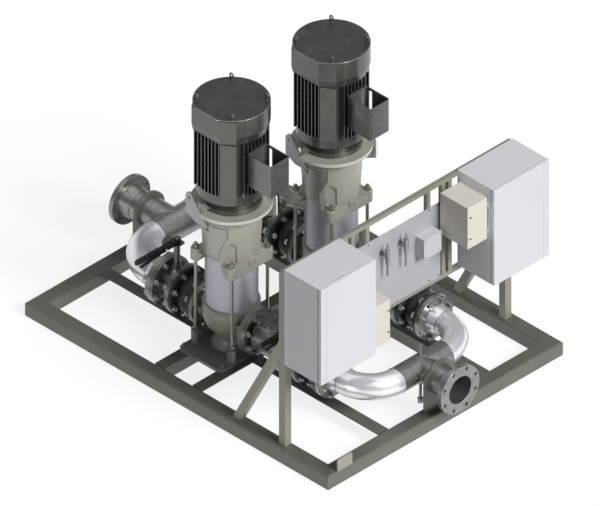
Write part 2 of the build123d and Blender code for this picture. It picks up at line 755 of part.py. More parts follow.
def check_flap():
    """Flap hanging on its arm in front of the seat."""
    start = CHECK_SEAT_X + SEAT_GAP
    half = FLAP_ARM / 2
    arm = FLAP_THICKNESS * 3 / 4
    with BuildPart() as flap:
        disc_x(FLAP_RADIUS, start, start + FLAP_THICKNESS)
        disc_x(2 * FLAP_THICKNESS, start, start + FLAP_THICKNESS + CHECK_SHELL)
        block((start + 2, -half, 0), (start + FLAP_THICKNESS + arm, half, CHECK_HINGE_Z))
        disc_y(2 * CHECK_PIN_RADIUS, -half, half, CHECK_HINGE_X, CHECK_HINGE_Z)
        bore = CHECK_PIN_RADIUS + RUNNING_FIT
        disc_y(bore, -half - CUT, half + CUT, CHECK_HINGE_X, CHECK_HINGE_Z, Mode.SUBTRACT)
    return flap


# Flexible connectors
def connector(length, inlet, outlet):
    """Rubber arch connector between two flange rings; X runs from its inlet face."""
    ring = CONNECTOR_RING
    start = inlet.bore / 2
    end = outlet.bore / 2
    collar = CONNECTOR_RUBBER + CONNECTOR_COLLAR
    arch = max(start, end) + CONNECTOR_ARCH
    with BuildPart() as piece:
        with BuildSketch(Plane.XZ):
            with BuildLine():
                Polyline((0, start), (0, inlet.flange / 2), (ring, inlet.flange / 2), (ring, start + collar))
                ThreePointArc((ring, start + collar), (length / 2, arch), (length - ring, end + collar))
                Polyline(
                    (length - ring, end + collar),
                    (length - ring, outlet.flange / 2),
                    (length, outlet.flange / 2),
                    (length, end),
                    (length - ring, end),
                )
                ThreePointArc((length - ring, end), (length / 2, arch - CONNECTOR_RUBBER), (ring, start))
                Line((ring, start), (0, start))
            make_face()
        revolve(axis=Axis.X)
    return piece


# Pumps, each round its own vertical axis
def base_casting():
    """Solid of the pump base: foot plate, waisted bowl, columns and ports."""
    size = FIVE_INCH
    foot_top = TUBE + FOOT_THICKNESS
    foot_x = TIE_ROD_CIRCLE * sqrt(0.5) + FOOT_MARGIN
    rim = SLEEVE_RADIUS + BASE_RIM
    rim_bottom = SLEEVE_BOTTOM - BASE_RIM_HEIGHT
    waist_low, waist_high = BASE_WAIST_Z
    bend = sqrt(0.5)
    lower = (BASE_WAIST + (BASE_FLARE - BASE_WAIST) * (1 - bend), waist_low - (waist_low - foot_top) * bend)
    upper = (BASE_WAIST + (rim - BASE_WAIST) * bend, waist_high + (rim_bottom - waist_high) * (1 - bend))
    with BuildPart() as casting:
        with BuildSketch(Plane.XY.offset(TUBE)):
            RectangleRounded(2 * foot_x, 2 * FOOT_Y, FOOT_CORNER)
            inset_x, inset_y = FOOT_BOLT_INSET
            with GridLocations(2 * (foot_x - inset_x), 2 * (FOOT_Y - inset_y), 2, 2):
                Circle(FOOT_BOLT_RADIUS, mode=Mode.SUBTRACT)
        extrude(amount=FOOT_THICKNESS)
        with BuildSketch(Plane.XZ):
            with BuildLine():
                Line((BASE_WAIST, waist_high), (BASE_WAIST, waist_low))
                ThreePointArc((BASE_WAIST, waist_low), lower, (BASE_FLARE, foot_top))
                Polyline(
                    (BASE_FLARE, foot_top),
                    (0, foot_top),
                    (0, SLEEVE_BOTTOM),
                    (rim, SLEEVE_BOTTOM),
                    (rim, rim_bottom),
                )
                ThreePointArc((rim, rim_bottom), upper, (BASE_WAIST, waist_high))
            make_face()
        revolve(axis=Axis.Z)
        with BuildSketch(Plane.XY.offset(TUBE)):
            with diagonals(TIE_ROD_CIRCLE):
                Circle(COLUMN_RADIUS)
        extrude(amount=COLUMN_TOP - TUBE)
        for sign in (-1, 1):
            low, high = sorted((0, sign * PORT_FACE))
            disc_x(PORT_NECK_RADIUS, low, high, z=PORT_Z)
            low, high = sorted((sign * (PORT_FACE - size.thick), sign * PORT_FACE))
            disc_x(size.flange / 2, low, high, z=PORT_Z)
            low, high = sorted((sign * BASE_WAIST / 2, sign * (PORT_FACE - size.thick)))
            block((low, -PORT_WEB / 2, foot_top - CUT), (high, PORT_WEB / 2, PORT_Z - PORT_NECK_RADIUS / 2))
    return casting


def pump_base():
    """Pump base with its suction passage to the middle and its discharge passage from the annulus."""
    bore = FIVE_INCH.bore / 2
    annulus_outer = SLEEVE_RADIUS - BASE_RIM
    annulus_inner = annulus_outer - 2 * BASE_RIM
    annulus_bottom = SLEEVE_BOTTOM - 35
    casting = base_casting()
    with BuildPart() as base:
        add(casting.part)
        disc_x(bore, -PORT_FACE, 0, z=PORT_Z, mode=Mode.SUBTRACT)
        disc_z(bore, PORT_Z, SLEEVE_BOTTOM, mode=Mode.SUBTRACT)
        disc_x(bore, annulus_inner, PORT_FACE, z=PORT_Z, mode=Mode.SUBTRACT)
        with BuildSketch(Plane.XY.offset(annulus_bottom)):
            Circle(annulus_outer)
            Circle(annulus_inner, mode=Mode.SUBTRACT)
        extrude(amount=SLEEVE_BOTTOM - annulus_bottom, mode=Mode.SUBTRACT)
        block((annulus_inner, -40, PORT_Z), (annulus_outer - 2, 40, annulus_bottom + CUT), Mode.SUBTRACT)
        with BuildSketch(Plane.XY.offset(COLUMN_TOP - ROD_SOCKET)):
            with diagonals(TIE_ROD_CIRCLE):
                Circle(TIE_ROD_RADIUS + RUNNING_FIT)
        extrude(amount=ROD_SOCKET, mode=Mode.SUBTRACT)
    return base


def pump_sleeve():
    """Stainless outer sleeve between the base and the stool."""
    with BuildPart() as sleeve:
        with BuildSketch(Plane.XY.offset(SLEEVE_BOTTOM)):
            Circle(SLEEVE_RADIUS)
            Circle(SLEEVE_RADIUS - SLEEVE_WALL, mode=Mode.SUBTRACT)
        extrude(amount=SLEEVE_TOP - SLEEVE_BOTTOM)
    return sleeve


def stage_chambers():
    """Stacked stage bowls, each with a floor that has an eye for the flow."""
    with BuildPart() as stack:
        for stage in range(STAGE_COUNT):
            bottom = SLEEVE_BOTTOM + stage * STAGE_PITCH
            with BuildSketch(Plane.XY.offset(bottom)):
                Circle(STAGE_RADIUS)
                Circle(STAGE_EYE, mode=Mode.SUBTRACT)
            extrude(amount=STAGE_FLOOR)
            with BuildSketch(Plane.XY.offset(bottom)):
                Circle(STAGE_RADIUS)
                Circle(STAGE_RADIUS - STAGE_WALL, mode=Mode.SUBTRACT)
            extrude(amount=STAGE_PITCH)
    return stack


def impeller_shaft():
    """Pump shaft with its stack of closed impellers."""
    shroud = IMPELLER_SHROUD
    with BuildPart() as shaft:
        disc_z(PUMP_SHAFT_RADIUS, SLEEVE_BOTTOM - ROD_SOCKET, SHAFT_MEETING - CUT)
        for stage in range(STAGE_COUNT):
            low = SLEEVE_BOTTOM + stage * STAGE_PITCH + STAGE_FLOOR + IMPELLER_LIFT
            high = low + IMPELLER_HEIGHT
            disc_z(IMPELLER_HUB, low, high)
            disc_z(IMPELLER_RADIUS, high - shroud, high)
            with BuildSketch(Plane.XY.offset(low)):
                Circle(IMPELLER_RADIUS)
                Circle(IMPELLER_EYE, mode=Mode.SUBTRACT)
            extrude(amount=shroud)
            with BuildSketch(Plane.XY.offset(low + shroud)):
                with PolarLocations(0, IMPELLER_BLADES):
                    with Locations(Location((IMPELLER_RADIUS / 2 + 8, 14), 20)):
                        Rectangle(IMPELLER_RADIUS - 18, shroud)
            extrude(amount=IMPELLER_HEIGHT - 2 * shroud)
    return shaft


def coupling():
    """Split clamp coupling over both shaft ends."""
    low, high = COUPLING_Z
    with BuildPart() as piece:
        disc_z(COUPLING_RADIUS, low, high)
        disc_z(COUPLING_RADIUS + COUPLING_COLLAR, *COUPLING_COLLAR_Z)
        disc_z(PUMP_SHAFT_RADIUS + RUNNING_FIT, low, SHAFT_MEETING, mode=Mode.SUBTRACT)
        disc_z(MOTOR_SHAFT_RADIUS + RUNNING_FIT, SHAFT_MEETING, high, mode=Mode.SUBTRACT)
    return piece


# Motor stool, its guards and its lifting lugs
def stool_radius(z):
    """Outer radius of the stool's tapered barrel at a height."""
    low, high = STOOL_SPREAD
    share = (z - STOOL_BOTTOM) / (FLANGE_BOTTOM - STOOL_BOTTOM)
    return SLEEVE_RADIUS + low + (high - low) * share


def guard_planes():
    """Upright planes that look out of the stool to -Y and to +Y, half a turn apart."""
    return (
        Plane(origin=(0, 0, 0), x_dir=(1, 0, 0), z_dir=(0, -1, 0)),
        Plane(origin=(0, 0, 0), x_dir=(-1, 0, 0), z_dir=(0, 1, 0)),
    )


def guard_outline(plane, bottom, top, margin):
    """Sketch of a guard from its side: wide above, narrow below and low behind the lug."""
    narrow, wide = [width + margin for width in GUARD_HALF_WIDTH]
    bend_low, bend_high = GUARD_BEND_Z
    lug_x = -LUG_FLAT_START + GUARD_CORNER / 2 - margin
    lug_z = LUG_FLAT_Z - GUARD_CORNER / 2 + margin
    with BuildSketch(plane) as outline:
        with BuildLine():
            FilletPolyline(
                (-narrow, bottom),
                (narrow, bottom),
                (narrow, bend_low),
                (wide, bend_high),
                (wide, top),
                (lug_x, top),
                (lug_x, lug_z),
                (-wide, lug_z),
                (-wide, bend_high - GUARD_CORNER),
                (-narrow, bend_low - GUARD_CORNER),
                radius=GUARD_CORNER / 2,
                close=True,
            )
        make_face()
    return outline


def cone_skin(inner, outer, low, high):
    """Conical shell that follows the stool's barrel, between two depths outside its surface."""
    with BuildPart() as skin:
        with BuildSketch(Plane.XZ):
            with BuildLine():
                Polyline(
                    (stool_radius(low) + inner, low),
                    (stool_radius(high) + inner, high),
                    (stool_radius(high) + outer, high),
                    (stool_radius(low) + outer, low),
                    close=True,
                )
            make_face()
        revolve(axis=Axis.Z)
    return skin


def coupling_guards():
    """Curved sheet guards that lie in the stool's recesses, over its windows."""
    bottom, top = GUARD_Z
    inner = SEAT_GAP - GUARD_RECESS
    skin = cone_skin(inner, inner + GUARD_THICKNESS, bottom, top)
    with BuildPart() as guards:
        for plane in guard_planes():
            outline = guard_outline(plane, bottom, top, 0)
            extrude(outline.sketch, amount=STOOL_FLANGE_RADIUS)
        add(skin.part, mode=Mode.INTERSECT)
    return guards


def guard_recesses():
    """The shallow recesses that the guards lie in."""
    skin = cone_skin(-GUARD_RECESS, 2 * STOOL_WALL, SLEEVE_TOP, GUARD_RECESS_TOP)
    with BuildPart() as recesses:
        for plane in guard_planes():
            outline = guard_outline(plane, SLEEVE_TOP, GUARD_RECESS_TOP, GUARD_MARGIN)
            extrude(outline.sketch, amount=STOOL_FLANGE_RADIUS)
        add(skin.part, mode=Mode.INTERSECT)
    return recesses


def stool_lobes():
    """Bosses on the diagonals that take the tie rods, each with a web to the barrel."""
    with BuildPart() as lobes:
        with BuildSketch(Plane.XY.offset(STOOL_BOTTOM)):
            with diagonals(TIE_ROD_CIRCLE):
                Circle(LOBE_RADIUS)
                Rectangle(TIE_ROD_OFFSET, 2 * LOBE_RADIUS, align=(Align.MAX, Align.CENTER))
        extrude(amount=SLEEVE_TOP - STOOL_BOTTOM)
        fillet(lobes.edges().group_by(Axis.Z)[-1], LOBE_ROUND)
    return lobes


def stool_barrel():
    """Square skirt that narrows into a tapered barrel with its top flange, hollow inside."""
    half = TIE_ROD_CIRCLE * sqrt(0.5) + LOBE_RADIUS - CUT
    low_r = stool_radius(STOOL_BOTTOM)
    high_r = stool_radius(FLANGE_BOTTOM)
    floor_top = SLEEVE_TOP + STOOL_FLOOR
    with BuildPart() as barrel:
        with BuildSketch(Plane.XY.offset(STOOL_BOTTOM)):
            RectangleRounded(2 * half, 2 * half, LOBE_RADIUS)
        extrude(amount=SKIRT_HEIGHT, taper=SKIRT_TAPER)
        with BuildSketch(Plane.XZ):
            with BuildLine():
                Polyline(
                    (0, STOOL_BOTTOM),
                    (low_r, STOOL_BOTTOM),
                    (high_r, FLANGE_BOTTOM),
                    (STOOL_FLANGE_RADIUS, FLANGE_BOTTOM),
                    (STOOL_FLANGE_RADIUS, STOOL_TOP),
                    (0, STOOL_TOP),
                    close=True,
                )
            make_face()
        revolve(axis=Axis.Z)
        disc_z(stool_radius(floor_top) - STOOL_WALL, floor_top, FLANGE_BOTTOM, mode=Mode.SUBTRACT)
        disc_z(STOOL_MOUTH_RADIUS, FLANGE_BOTTOM, STOOL_TOP, mode=Mode.SUBTRACT)
    return barrel


def motor_stool():
    """Cast motor stool: lobed foot, tapered barrel, windows, pockets, recesses and top flange."""
    barrel = stool_barrel()
    lobes = stool_lobes()
    recesses = guard_recesses()
    low_r = stool_radius(STOOL_BOTTOM)
    floor_top = SLEEVE_TOP + STOOL_FLOOR
    reach = STOOL_FLANGE_RADIUS + CUT
    with BuildPart() as stool:
        add(barrel.part)
        add(lobes.part)
        disc_z(SLEEVE_RADIUS + SEAT_GAP, STOOL_BOTTOM, SLEEVE_TOP, mode=Mode.SUBTRACT)
        disc_z(PUMP_SHAFT_RADIUS + SEAT_GAP, SLEEVE_TOP, floor_top, mode=Mode.SUBTRACT)
        with BuildSketch(Plane.XY.offset(STOOL_BOTTOM)):
            with diagonals(TIE_ROD_CIRCLE):
                Circle(TIE_ROD_RADIUS + SLIP)
        extrude(amount=SLEEVE_TOP - STOOL_BOTTOM, mode=Mode.SUBTRACT)
        add(recesses.part, mode=Mode.SUBTRACT)
        # Windows to the coupling behind the guards
        width, height, corner = WINDOW
        with BuildSketch(Plane.XZ):
            with Locations((0, WINDOW_Z)):
                RectangleRounded(width, height, corner)
        extrude(amount=reach, both=True, mode=Mode.SUBTRACT)
        # Arches under the guards that leave the sleeve in view
        foot, crown = ARCH_HALF_WIDTH
        for plane in guard_planes():
            with BuildSketch(plane.offset(SLEEVE_RADIUS / 2)):
                with BuildLine():
                    Polyline(
                        (-foot, STOOL_BOTTOM),
                        (foot, STOOL_BOTTOM),
                        (crown, SLEEVE_TOP),
                        (-crown, SLEEVE_TOP),
                        close=True,
                    )
                make_face()
            extrude(amount=reach, mode=Mode.SUBTRACT)
        # Arched pockets above the tie rod nuts
        pocket = POCKET_HALF_WIDTH
        spring = POCKET_TOP - pocket
        floor = (low_r - POCKET_DEPTH) * sqrt(0.5)
        for x, y in ((1, 1), (-1, 1), (-1, -1), (1, -1)):
            with BuildSketch(Plane(origin=(x * floor, y * floor, 0), x_dir=(-y, x, 0), z_dir=(x, y, 0))):
                with BuildLine():
                    Polyline((-pocket, spring), (-pocket, SLEEVE_TOP), (pocket, SLEEVE_TOP), (pocket, spring))
                    ThreePointArc((pocket, spring), (0, POCKET_TOP), (-pocket, spring))
                make_face()
            extrude(amount=reach, mode=Mode.SUBTRACT)
        # Oil plug with a square socket
        plug_face = low_r + PLUG_RISE
        disc_x(PLUG_RADIUS, SLEEVE_RADIUS + PLUG_RISE / 2, plug_face, z=PLUG_Z)
        with Locations((plug_face, 0, PLUG_Z)):
            Box(PLUG_RISE, PLUG_SOCKET, PLUG_SOCKET, mode=Mode.SUBTRACT)
        # Flats for the lifting lugs
        flat_y = LUG_Y - LUG_THICKNESS / 2
        block((-reach, -reach, LUG_FLAT_Z), (-LUG_FLAT_START, -flat_y, STOOL_TOP), Mode.SUBTRACT)
        block((LUG_FLAT_START, flat_y, LUG_FLAT_Z), (reach, reach, STOOL_TOP), Mode.SUBTRACT)
    return stool


def lifting_lugs():
    """Lug plates bolted to flats on opposite sides of the stool."""
    with BuildPart() as lugs:
        for sign in LINES.values():
            plane = Plane(
                origin=(0, sign * (LUG_Y + LUG_THICKNESS / 2), 0),
                x_dir=(sign, 0, 0),
                z_dir=(0, -sign, 0),
            )
            with BuildSketch(plane):
                with BuildLine():
                    Polyline(*LUG_OUTLINE)
                    ThreePointArc(LUG_OUTLINE[-1], LUG_CROWN, LUG_OUTLINE[0])
                make_face()
                with Locations(LUG_HOLE):
                    Circle(LUG_HOLE_RADIUS, mode=Mode.SUBTRACT)
            extrude(amount=LUG_THICKNESS)
    return lugs


def tie_rods():
    """Four tie rods with their lower and upper nuts."""
    start = COLUMN_TOP - ROD_SOCKET + 2 * CUT
    with BuildPart() as rods:
        with BuildSketch(Plane.XY.offset(start)):
            with diagonals(TIE_ROD_CIRCLE):
                Circle(TIE_ROD_RADIUS)
        extrude(amount=SLEEVE_TOP + TIE_ROD_NUT + TIE_ROD_END - start)
        for low in (COLUMN_TOP, SLEEVE_TOP):
            with BuildSketch(Plane.XY.offset(low)):
                with diagonals(TIE_ROD_CIRCLE):
                    RegularPolygon(TIE_ROD_NUT, 6)
            extrude(amount=TIE_ROD_NUT)
    return rods


# Motors, each round the same axis as its pump
def motor_housing():
    """Flange ring, end shield and finned stator frame, with bearing seats."""
    ring_top = STOOL_TOP + MOTOR_FLANGE_HEIGHT
    with BuildPart() as housing:
        with BuildSketch(Plane.XZ):
            with BuildLine():
                Polyline(
                    (SHIELD_WAIST, ring_top + 4),
                    (MOTOR_FLANGE_RADIUS, ring_top),
                    (MOTOR_FLANGE_RADIUS, STOOL_TOP),
                    (0, STOOL_TOP),
                    (0, SHIELD_TOP),
                    (SHIELD_RADIUS, SHIELD_TOP),
                    (SHIELD_RADIUS, SHIELD_SHOULDER_Z),
                )
                ThreePointArc(
                    (SHIELD_RADIUS, SHIELD_SHOULDER_Z),
                    (MOTOR_FLANGE_RADIUS, SHIELD_SHOULDER_Z - 22),
                    (SHIELD_WAIST, ring_top + 4),
                )
            make_face()
        revolve(axis=Axis.Z)
        frame = motor_frame_section()
        extrude(frame.sketch, amount=FIN_TOP - SHIELD_TOP)
        # Pad that carries the terminal box
        low_y, high_y = TERMINAL_PAD_Y
        low_z, high_z = TERMINAL_BOX_Z
        block((CORE_HALF - CUT, low_y, low_z), (FIN_REACH, high_y, high_z))
        disc_z(STATOR_BORE, SHIELD_SHOULDER_Z, FIN_TOP - 24, mode=Mode.SUBTRACT)
        disc_z(MOTOR_SHAFT_RADIUS + RUNNING_FIT, STOOL_TOP, FIN_TOP, mode=Mode.SUBTRACT)
    return housing


def motor_frame_section():
    """Sketch of the stator frame: rounded core, fins on four sides and the smooth foot pad."""
    middle = (FINS_PER_SIDE - 1) / 2
    root = CORE_HALF - 2 * CUT
    low, high = FOOT_PAD
    inner_low = (low[0], CORE_CORNER - CORE_HALF)
    inner_high = (CORE_HALF - CORE_CORNER / 2, high[1] + CORE_CORNER / 2)
    with BuildSketch(Plane.XY.offset(SHIELD_TOP)) as section:
        RectangleRounded(2 * CORE_HALF, 2 * CORE_HALF, CORE_CORNER)
        with PolarLocations(0, 4):
            for fin in range(FINS_PER_SIDE):
                with Locations((root, (fin - middle) * FIN_PITCH)):
                    Rectangle(FIN_REACH - root, FIN_THICKNESS, align=(Align.MIN, Align.CENTER))
        with BuildLine():
            Polyline(inner_low, low, high, inner_high, close=True)
        make_face()
    return section


def motor_rotor():
    """Motor shaft with its rotor core and the cooling fan."""
    fan_low = FIN_TOP + FAN_LIFT
    plate = 4.0
    with BuildPart() as rotor:
        disc_z(MOTOR_SHAFT_RADIUS, SHAFT_MEETING + CUT, fan_low + FAN_HEIGHT + plate)
        disc_z(ROTOR_RADIUS, SHIELD_TOP + 40, FIN_TOP - 80)
        disc_z(FAN_HUB_RADIUS, fan_low, fan_low + FAN_HEIGHT)
        disc_z(FAN_RADIUS, fan_low, fan_low + plate)
        with BuildSketch(Plane.XY.offset(fan_low + plate)):
            with PolarLocations(FAN_RADIUS / 2, FAN_BLADES):
                Rectangle(FAN_RADIUS, plate)
        extrude(amount=FAN_HEIGHT - plate)
    return rotor


def cowl_outline(z, inset):
    """Sketch of the fan cowl's outline: round, with a flat to -Y and a pad on the front diagonal."""
    scale = 1 - inset / COWL_RADIUS
    flat = -COWL_FLAT * scale
    low_x, high_x = COWL_FLAT_X
    corners = [(low_x, -COWL_FLAT), (high_x, -COWL_FLAT), FOOT_PAD[1], COWL_PAD_END, (0, 0), COWL_SHOULDER]
    with BuildSketch(Plane.XY.offset(z)) as outline:
        Circle(COWL_RADIUS * scale)
        with Locations((0, flat)):
            Rectangle(3 * COWL_RADIUS, 2 * COWL_RADIUS, align=(Align.CENTER, Align.MIN), mode=Mode.INTERSECT)
        with BuildLine():
            Polyline(*[(x * scale, y * scale) for x, y in corners], close=True)
        make_face()
    return outline


def fan_cowl():
    """Fan cowl drawn in at its lower edge, with a round plate on top and posts inside."""
    foot = FIN_TOP + SEAT_GAP
    roof = COWL_TOP - COWL_DISC_RISE
    with BuildPart() as cowl:
        for inset, top, mode in ((0, roof, Mode.ADD), (COWL_WALL, COWL_TOP - COWL_ROOF, Mode.SUBTRACT)):
            lip = cowl_outline(foot, inset + COWL_LIP_INSET)
            shoulder = cowl_outline(COWL_LIP_TOP, inset)
            loft(sections=[lip.sketch, shoulder.sketch], ruled=True, mode=mode)
            extrude(shoulder.sketch, amount=top - COWL_LIP_TOP, mode=mode)
        with BuildSketch(Plane.XY.offset(roof)):
            Circle(COWL_DISC_RADIUS)
            with Locations((0, COWL_RADIUS + COWL_WALL - COWL_FLAT)):
                Rectangle(2 * COWL_RADIUS, 2 * COWL_RADIUS, mode=Mode.INTERSECT)
        extrude(amount=COWL_DISC_RISE)
        with BuildSketch(Plane.XY.offset(FIN_TOP)):
            with GridLocations(2 * COWL_POST, 2 * COWL_POST, 2, 2):
                Circle(COWL_POST_RADIUS)
        extrude(amount=roof - FIN_TOP)
    return cowl


def eyebolts():
    """Four eyebolts on the motor's top plate."""
    collar_radius, collar_height = EYEBOLT_COLLAR
    centre_z = COWL_TOP + collar_height + EYEBOLT_RING + EYEBOLT_BAR - CUT
    with BuildPart() as bolts:
        with PolarLocations(EYEBOLT_CIRCLE, 4, start_angle=45, rotate=False):
            with Locations((0, 0, COWL_TOP + collar_height / 2)):
                Cylinder(collar_radius, collar_height)
            with Locations((0, 0, centre_z)):
                Torus(EYEBOLT_RING, EYEBOLT_BAR, rotation=(90, 0, 45))
    return bolts


def terminal_box():
    """Open-topped connection box on the motor's side, with a cable slot in one wall."""
    low, high = TERMINAL_BOX_Z
    wall = TERMINAL_BOX_WALL
    start = FIN_REACH + SEAT_GAP
    length = TERMINAL_BOX_X - start
    width = 2 * TERMINAL_BOX_Y
    with BuildPart() as box:
        for inset, bottom, mode in ((0, low, Mode.ADD), (wall, low + wall, Mode.SUBTRACT)):
            with BuildSketch(Plane.XY.offset(bottom)):
                with Locations((start + length / 2, 0)):
                    RectangleRounded(length - 2 * inset, width - 2 * inset, TERMINAL_BOX_CORNER - inset)
            extrude(amount=high - bottom, mode=mode)
        slot_x0, slot_x1, slot_z0, slot_z1 = TERMINAL_SLOT
        slot_start = (slot_x0, TERMINAL_BOX_Y - 2 * wall, slot_z0)
        block(slot_start, (slot_x1, TERMINAL_BOX_Y + CUT, slot_z1), Mode.SUBTRACT)
    return box


# Instrument rack
def rack_posts():
    """Two square hollow posts on the side rails."""
    middle = POST_INNER + POST / 2
    with BuildPart() as posts:
        with BuildSketch(Plane.XY.offset(TUBE)):
            with Locations((RACK_X - POST / 2, -middle), (RACK_X - POST / 2, middle)):
                Rectangle(POST, POST)
                Rectangle(POST - 2 * POST_WALL, POST - 2 * POST_WALL, mode=Mode.SUBTRACT)
        extrude(amount=TOP_RAIL_Z - TUBE)
    return posts


def rack_rails():
    """Top and bottom rails with the struts between them."""
    back = RACK_X - RAIL
    with BuildPart() as rails:
        block((back, -RACK_HALF_WIDTH, TOP_RAIL_Z), (RACK_X, RACK_HALF_WIDTH, TOP_RAIL_Z + RAIL))
        block((back, -POST_INNER, LOW_RAIL_Z), (RACK_X, POST_INNER, LOW_RAIL_Z + RAIL))
        for side in LINES.values():
            for y in STRUT_Y:
                block(
                    (back, side * y - RAIL / 2, LOW_RAIL_Z + RAIL + WELD_GAP),
                    (RACK_X, side * y + RAIL / 2, TOP_RAIL_Z - WELD_GAP),
                )
    return rails


def rack_braces():
    """Diagonal braces from the side rails up to the posts."""
    post_back = RACK_X - POST
    rise = BRACE_TOP_Z - TUBE
    run = post_back - BRACE_FOOT_X
    width = BRACE_WIDTH * sqrt(rise**2 + run**2) / rise
    drop = width * rise / run
    with BuildPart() as braces:
        for side in LINES.values():
            middle = side * (POST_INNER + POST / 2)
            with BuildSketch(Plane.XZ.offset(-middle)):
                with BuildLine():
                    Polyline(
                        (BRACE_FOOT_X, TUBE),
                        (BRACE_FOOT_X + width, TUBE),
                        (post_back, BRACE_TOP_Z - drop),
                        (post_back, BRACE_TOP_Z),
                        close=True,
                    )
                make_face()
            extrude(amount=POST / 2, both=True)
    return braces


def instrument_panel():
    """Flat panel on the front of the struts."""
    low_z, high_z = PANEL_Z
    with BuildPart() as panel:
        block((RACK_X, -PANEL_HALF_WIDTH, low_z), (RACK_X + PANEL_THICKNESS, PANEL_HALF_WIDTH, high_z))
    return panel


def junction_box():
    """Small closed box on the panel with a screwed lid."""
    back = RACK_X + PANEL_THICKNESS
    front = RACK_X + JUNCTION_BOX_DEPTH
    low_y, high_y = JUNCTION_BOX_Y
    low_z, high_z = JUNCTION_BOX_Z
    lip = 1.0
    with BuildPart() as box:
        block((back, low_y, low_z), (front - JUNCTION_LID, high_y, high_z))
        block((front - JUNCTION_LID, low_y - lip, low_z - lip), (front, high_y + lip, high_z + lip))
        fillet(box.edges().filter_by(Axis.X), JUNCTION_ROUND)
    return box


def pressure_transmitters():
    """Pressure transmitters held off the panel by clamp brackets."""
    face = RACK_X + PANEL_THICKNESS
    axis_x = face + TRANSMITTER_STANDOFF
    z = TRANSMITTER_Z
    with BuildPart() as pair:
        for y in TRANSMITTER_Y:
            for radius, low, high in TRANSMITTER_SECTIONS:
                disc_z(radius, z + low, z + high, axis_x, y)
            block((face, y - 20, z + 10), (face + 4, y + 20, z + 50))
            block((face, y - 8, z + 20), (axis_x - 8, y + 8, z + 40))
    return pair


# Cabinets
def cabinet_span(side):
    """Low and high Y of a cabinet."""
    return sorted((side * CABINET_INNER, side * RACK_HALF_WIDTH))


def cabinet_hinge(side):
    """Place of a cabinet's hinge line, and the heights where its brackets end."""
    low_z, high_z = CABINET_Z
    pin_x = CABINET_FRONT - DOOR_DEPTH + HINGE_BACK
    pin_y = side * (RACK_HALF_WIDTH - HINGE_INSET)
    return pin_x, pin_y, (low_z + HINGE_FROM_END, high_z - HINGE_FROM_END)


def cabinet(side):
    """Wall cabinet body, open to the front behind its door; hinge on the outer side."""
    low_y, high_y = cabinet_span(side)
    low_z, high_z = CABINET_Z
    wall = CABINET_WALL
    neck = NECK_INSET
    shoulder = CABINET_FRONT - DOOR_DEPTH - DOOR_SHOULDER
    neck_front = CABINET_FRONT - NECK_SETBACK
    pin_x, pin_y, heights = cabinet_hinge(side)
    half_bracket, bracket_height = HINGE_BRACKET
    with BuildPart() as body:
        block((RACK_X, low_y, low_z), (shoulder, high_y, high_z))
        block(
            (RACK_X + wall, low_y + wall, low_z + wall),
            (shoulder - wall, high_y - wall, high_z - wall),
            Mode.SUBTRACT,
        )
        block((shoulder - wall, low_y + neck, low_z + neck), (neck_front, high_y - neck, high_z - neck))
        neck += wall
        block(
            (shoulder - 2 * wall, low_y + neck, low_z + neck),
            (neck_front, high_y - neck, high_z - neck),
            Mode.SUBTRACT,
        )
        # Hinge brackets on the neck, each with its pin
        for z in heights:
            reach = sorted((pin_y, side * (RACK_HALF_WIDTH - NECK_INSET)))
            block((pin_x - half_bracket, reach[0], z - bracket_height), (pin_x + half_bracket, reach[1], z))
            disc_z(HINGE_BRACKET_ROUND, z - bracket_height, z, pin_x, pin_y)
            disc_z(HINGE_PIN_RADIUS, z, z + HINGE_PIN_HEIGHT, pin_x, pin_y)
    return body


def cabinet_door(side):
    """Folded pan door with two hinge lugs that sit on the cabinet's pins."""
    low_y, high_y = cabinet_span(side)
    low_z, high_z = CABINET_Z
    back = CABINET_FRONT - DOOR_DEPTH
    wall = CABINET_WALL
    pin_x, pin_y, heights = cabinet_hinge(side)
    barrel, barrel_height = HINGE_BARREL
    bracket_height = HINGE_BRACKET[1]
    groove_width, groove_depth = DOOR_GROOVE
    with BuildPart() as door:
        block((back, low_y, low_z), (CABINET_FRONT, high_y, high_z))
        block(
            (back, low_y + wall, low_z + wall),
            (CABINET_FRONT - wall, high_y - wall, high_z - wall),
            Mode.SUBTRACT,
        )
        # Shallow upright groove where the door's skin is folded
        groove_y = side * (RACK_HALF_WIDTH - DOOR_GROOVE_INSET)
        block(
            (CABINET_FRONT - groove_depth, groove_y - groove_width / 2, low_z),
            (CABINET_FRONT, groove_y + groove_width / 2, high_z),
            Mode.SUBTRACT,
        )
        for z in heights:
            start = z + HINGE_LIFT
            end = start + barrel_height
            # Notch in the door's edge that lets it swing round the cabinet's bracket
            edge = sorted((side * (RACK_HALF_WIDTH - wall), side * RACK_HALF_WIDTH))
            block((back, edge[0], z - bracket_height - CUT), (pin_x, edge[1], start), Mode.SUBTRACT)
            disc_z(barrel, start, end, pin_x, pin_y)
            reach = sorted((pin_y, side * (RACK_HALF_WIDTH - wall / 2)))
            block((pin_x - HINGE_PIN_RADIUS, reach[0], start), (pin_x + HINGE_PIN_RADIUS, reach[1], end))
            bore = HINGE_PIN_RADIUS + RUNNING_FIT
            disc_z(bore, start - CUT, end + CUT, pin_x, pin_y, Mode.SUBTRACT)
    return door


# Control boxes on the inner walls of the cabinets
def control_box_places(name):
    """Fixed wall, side of the free wall and height range of a control box."""
    fixed = LINES[name] * CABINET_INNER
    away = -LINES[name]
    bottom = CONTROL_BOX_BOTTOM[name]
    return fixed, away, bottom, bottom + CONTROL_BOX_HEIGHT


